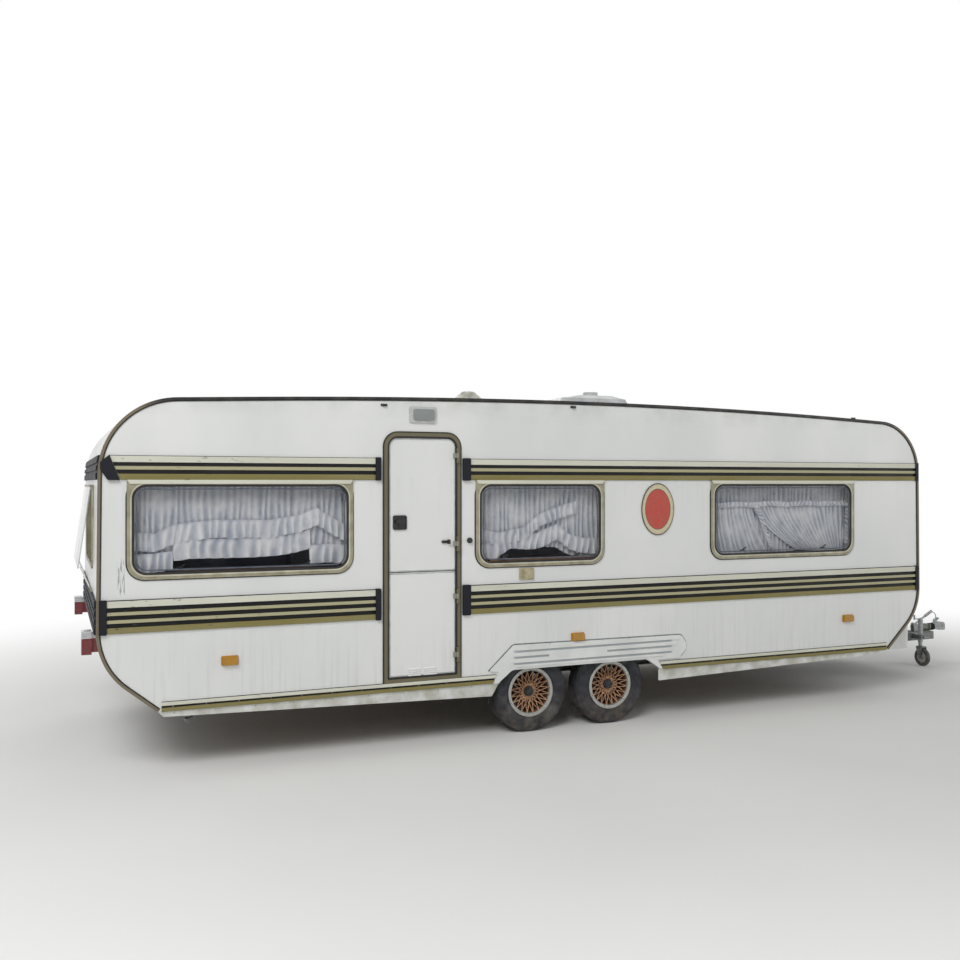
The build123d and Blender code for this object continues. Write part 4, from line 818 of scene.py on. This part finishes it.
for axle in ("rear", "front"):
    for side, sign in (("right", -1), ("left", 1)):
        place = Matrix.Translation((station(axles[axle]), sign * tyre["across"] / 1000, axles["height"] / 1000))
        tyrePiece(f"tyre_tread_{axle}_{side}", place, f"wheel_{axle}_{side}", f"tyre_{axle}_{side}")
        bm = bmesh.new()
        across, up = valve["from"]
        turned = place @ Matrix.Rotation(valve["turn"][axle], 4, "Y") @ Matrix.Translation(
            (0, sign * across + valve["stem"][2] / 2000, up)) @ Matrix.Rotation(pi / 2, 4, "X")
        discOn(bm, turned, *valve["stem"], 10)
        finishPiece(f"valve_{axle}_{side}", bm, "rubber", f"wheel_{axle}_{side}")
print("tyres are on")

# Net curtains: sheer gathered panels with sewn ruffles, hung inside every window

# Panels hang from "top" down to the "hem", given as (share across, height); "from" and "to" are where the
# upper and the lower edge start and end; ruffles: a line of (place along, height), drop, pleat, all in mm
curtainLooks = {
    "swagged": {
        "panels": [{"from": (-14, 1490), "to": (-10, 1480), "top": 1925, "pleats": 34, "fold": 9, "cloth": "net",
                    "out": 1116, "hem": [(0, 1300), (0.19, 1312), (0.205, 1385), (0.5, 1378), (0.76, 1412),
                                         (0.80, 1452), (0.83, 1345), (1, 1312)]}],
        "ruffles": [([(0, 1560), (180, 1540), (300, 1600), (560, 1625), (900, 1618), (1120, 1650), (1240, 1700),
                      (1330, 1640), (1478, 1560)], 120, 58),
                    ([(0, 1405), (150, 1412), (285, 1425)], 122, 62),
                    ([(290, 1488), (420, 1502), (640, 1498), (900, 1500), (1080, 1520), (1190, 1548)], 128, 74),
                    ([(1185, 1442), (1310, 1448), (1478, 1432)], 128, 66)],
    },
    "gatheredPair": {
        "panels": [{"from": (-14, 1130), "to": (-10, 1125), "top": 1925, "pleats": 27, "fold": 10, "cloth": "net",
                    "out": 1116, "hem": [(0, 1290), (0.2, 1300), (0.26, 1390), (0.62, 1380), (0.7, 1330),
                                         (0.8, 1290), (1, 1292)]}],
        "ruffles": [([(0, 1545), (200, 1500), (420, 1540), (560, 1640), (700, 1690), (860, 1735)], 95, 52),
                    ([(0, 1420), (180, 1430), (300, 1500), (520, 1490), (700, 1560), (800, 1480), (900, 1450),
                      (1122, 1440)], 120, 60)],
    },
    "sweptAside": {
        "panels": [{"from": (-20, 1500), "to": (-14, 1490), "top": 1925, "pleats": 36, "fold": 8, "cloth": "net",
                    "out": 1104, "hem": [(0, 1292), (0.5, 1288), (1, 1296)]},
                   {"from": (-20, 470), "to": (-14, 640), "top": 1690, "pleats": 12, "fold": 9, "cloth": "ruffle",
                    "out": 1126, "hem": [(0, 1292), (0.5, 1286), (1, 1292)]},
                   {"from": (470, 1462), "to": (930, 1446), "top": 1702, "pleats": 20, "fold": 8,
                    "cloth": "ruffle", "out": 1124, "hem": [(0, 1300), (0.4, 1286), (1, 1292)]}],
        "ruffles": [([(-16, 1712), (150, 1706), (300, 1716), (470, 1706), (640, 1722), (820, 1708), (1000, 1720),
                      (1180, 1712), (1462, 1716)], 42, 40),
                    ([(470, 1700), (520, 1600), (570, 1480), (640, 1330)], 60, 36),
                    ([(1462, 1700), (1452, 1560), (1446, 1330)], 56, 38)],
    },
}
curtainPlan = [(side, look, start) for side in ("right", "left")
               for look, start in (("swagged", 188), ("gatheredPair", 2588), ("sweptAside", 4652))]
endCurtains = {"rear": (620, 78), "front": (880, 6812)}  # half the width, station
curtainOut = {"panel": 1116, "ruffle": 1140}
clothGrid = {"panel": (8, 22), "ruffle": (9, 9)}  # faces along each pleat, faces down


def along(points, share):  # the value between a few given points
    for (a, first), (b, second) in zip(points, points[1:]):
        if share <= b:
            return first + (second - first) * (share - a) / (b - a)
    return points[-1][1]


def clothPiece(name, bm, finish):
    piece = finishPiece(name, bm, finish, sharp=180)
    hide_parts("curtains")


def netPanel(name, toWall, panel, seed):
    (topFrom, topTo), (lowFrom, lowTo) = panel["from"], panel["to"]
    top, hem, pleats, depth = panel["top"], panel["hem"], panel["pleats"], panel["fold"]
    bm = bmesh.new()
    gather = bm.verts.layers.float.new("gather")
    perPleat, down = clothGrid["panel"]
    bmesh.ops.create_grid(bm, x_segments=pleats * perPleat, y_segments=down, size=0.5)
    for vert in bm.verts:
        u, v = vert.co.x + 0.5, 0.5 - vert.co.y
        drift = noise.noise((u * pleats * 0.6, v * 1.7, seed)) * 0.5
        fold = sin(2 * pi * (pleats * u + drift)) * (0.75 + 0.5 * noise.noise((u * pleats * 0.4, seed, 4)))
        fall = v ** 1.6
        x = (topFrom + (topTo - topFrom) * u) * (1 - fall) + (lowFrom + (lowTo - lowFrom) * u) * fall
        # painted shade: each vertex keeps how far its fold stands out, and the cloth colour darkens the valleys
        vert[gather] = max(0, min(1, 0.5 + 0.55 * fold))
        vert.co = toWall(x, top - (top - along(hem, u)) * v, panel["out"] + depth * (0.55 + 0.45 * v) * fold)
    length = top - sum(height for share, height in hem) / len(hem)
    clothPiece(name, bm, panel["cloth"])


def netRuffle(name, toWall, line, drop, pleatMm, seed):
    lengths = [0]
    for (ax, az), (bx, bz) in zip(line, line[1:]):
        lengths.append(lengths[-1] + sqrt((bx - ax) ** 2 + (bz - az) ** 2))
    total = lengths[-1]
    pleats = max(3, round(total / pleatMm))
    wideAt = [(l / total, p[0]) for l, p in zip(lengths, line)]
    highAt = [(l / total, p[1]) for l, p in zip(lengths, line)]
    steep = abs(line[-1][1] - line[0][1]) > abs(line[-1][0] - line[0][0])
    bm = bmesh.new()
    gather = bm.verts.layers.float.new("gather")
    perPleat, down = clothGrid["ruffle"]
    bmesh.ops.create_grid(bm, x_segments=pleats * perPleat, y_segments=down, size=0.5)
    for vert in bm.verts:
        u, v = vert.co.x + 0.5, 0.5 - vert.co.y
        drift = noise.noise((u * pleats * 0.5, v * 0.8, seed + 9)) * 0.6
        phase = 2 * pi * (pleats * u + drift)
        flare = v ** 0.8
        x, z = along(wideAt, u), along(highAt, u)
        out = flare * (10 * sin(phase) + 6)
        # painted shade: fold valleys are darker, and the top rows under the sewn header darker still, as its
        # painted shadow
        vert[gather] = max(0, min(1, 0.62 + 0.5 * sin(phase))) * (0.35 + 0.65 * min(1, v * 6))
        if steep:
            x += drop * v * 0.8 + 6 * flare * cos(phase)
            z -= drop * v * 0.45
        else:
            x += 5 * flare * cos(phase)
            z -= drop * v * (1 + 0.06 * noise.noise((u * pleats * 0.7, seed, 2))) - 2.5 * flare * sin(phase)
        vert.co = toWall(x, z, curtainOut["ruffle"] + out)
    clothPiece(name, bm, "ruffle")


for number, (side, look, start) in enumerate(curtainPlan):
    sign = -1 if side == "right" else 1

    def toWall(x, z, out, start=start, sign=sign):
        return (station(start + x), sign * out / 1000, z / 1000)

    kind = curtainLooks[look]
    for index, panel in enumerate(kind["panels"]):
        netPanel(f"curtain_{side}_{number}_{index}", toWall, panel, number * 3.1)
    for index, (line, drop, pleat) in enumerate(kind["ruffles"]):
        netRuffle(f"ruffle_{side}_{number}_{index}", toWall, line, drop, pleat, number * 2.3 + index)

for end, (half, depth) in endCurtains.items():
    def toWall(x, z, out, half=half, depth=depth, end=end):
        outward = out - curtainOut["panel"]
        return (station(depth + (outward if end == "front" else -outward)), (x - half) / 1000, z / 1000)

    width = 2 * half
    hem = [(0, 1330), (0.3, 1360), (0.5, 1380), (0.7, 1360), (1, 1330)]
    netPanel(f"curtain_{end}", toWall, {"from": (0, width), "to": (4, width - 4), "top": 1900, "hem": hem,
                                        "pleats": round(width / 44), "fold": 9, "cloth": "net",
                                        "out": curtainOut["panel"]}, 31.0)
    line = [(6, 1440), (width * 0.25, 1480), (width * 0.5, 1495), (width * 0.75, 1480), (width - 6, 1440)]
    netRuffle(f"ruffle_{end}", toWall, line, 115, 50, 17.0)
print("curtains hang")

# Cushions: foam blocks in woven covers, swollen by a cloth simulation

cushion = {"voxel": 0.016, "pressure": 4.0, "cap": 0.016, "smaller": 0.010, "frames": 20, "edge": 0.022,
           "quality": 4, "mass": 0.4, "fill": 0.8}
cushionPlan = [  # name, low corner and high corner in mm: station, across, height
    ("seat_right", (345, -1020, 882), (1755, -525, 1000)), ("seat_left", (345, 525, 882), (1755, 1020, 1000)),
    ("back_right", (345, -1100, 1004), (1755, -1000, 1330)), ("back_left", (345, 1000, 1004), (1755, 1100, 1330)),
    ("mattress", (5305, -1100, 852), (6600, 1100, 990)),
]


def swell(piece):  # blows the cover up a little, never past the cap
    start = [vert.co.copy() for vert in piece.data.vertices]
    cloth = piece.modifiers.new("cloth", "CLOTH")
    cloth.settings.use_pressure = True
    cloth.settings.uniform_pressure_force = cushion["pressure"]
    cloth.settings.effector_weights.gravity = 0
    cloth.settings.quality = cushion["quality"]
    cloth.settings.mass = cushion["mass"]
    cloth.point_cache.frame_start = 1
    cloth.point_cache.frame_end = cushion["frames"]
    for number in range(1, cushion["frames"] + 1):
        scene.frame_set(number)
    swollen = bpy.data.meshes.new_from_object(piece.evaluated_get(bpy.context.evaluated_depsgraph_get()))
    scene.frame_set(1)
    piece.modifiers.clear()
    for vert, first, moved in zip(piece.data.vertices, start, swollen.vertices):
        step = moved.co - first
        vert.co = first + step * min(1, cushion["cap"] / max(step.length, 1e-9))
    bpy.data.meshes.remove(swollen)


for name, low, high in cushionPlan:
    bm = bmesh.new()
    bmesh.ops.create_cube(bm, size=1)
    size = [(b - a) / 1000 - 2 * cushion["smaller"] for a, b in zip(low, high)]
    middle = (station((low[0] + high[0]) / 2), (low[1] + high[1]) / 2000, (low[2] + high[2]) / 2000)
    bmesh.ops.scale(bm, vec=size, verts=bm.verts)
    bmesh.ops.bevel(bm, geom=bm.edges[:], affect="EDGES", offset=cushion["edge"], segments=3, profile=0.5,
                    material=-1)
    cushionMesh = bpy.data.meshes.new("cushion")
    bm.to_mesh(cushionMesh)
    bm.free()
    pad = bpy.data.objects.new("cushion_" + name, cushionMesh)
    scene.collection.objects.link(pad)
    pad.location = middle
    remesh = pad.modifiers.new("remesh", "REMESH")
    remesh.mode = "VOXEL"
    remesh.voxel_size = cushion["voxel"]
    bpy.context.view_layer.update()
    dense = bpy.data.meshes.new_from_object(pad.evaluated_get(bpy.context.evaluated_depsgraph_get()))
    pad.modifiers.clear()
    pad.data = dense
    swell(pad)
    dense.transform(Matrix.Translation(middle))
    pad.location = (0, 0, 0)
    dense.materials.clear()
    dense.materials.append(finishes["seatCloth"])
    dense.shade_smooth()
    rounding = pad.modifiers.new("rounding", "SUBSURF")
    rounding.levels = rounding.render_levels = 1
    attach(pad, "caravan")
    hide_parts("cushions")
print("cushions are filled")
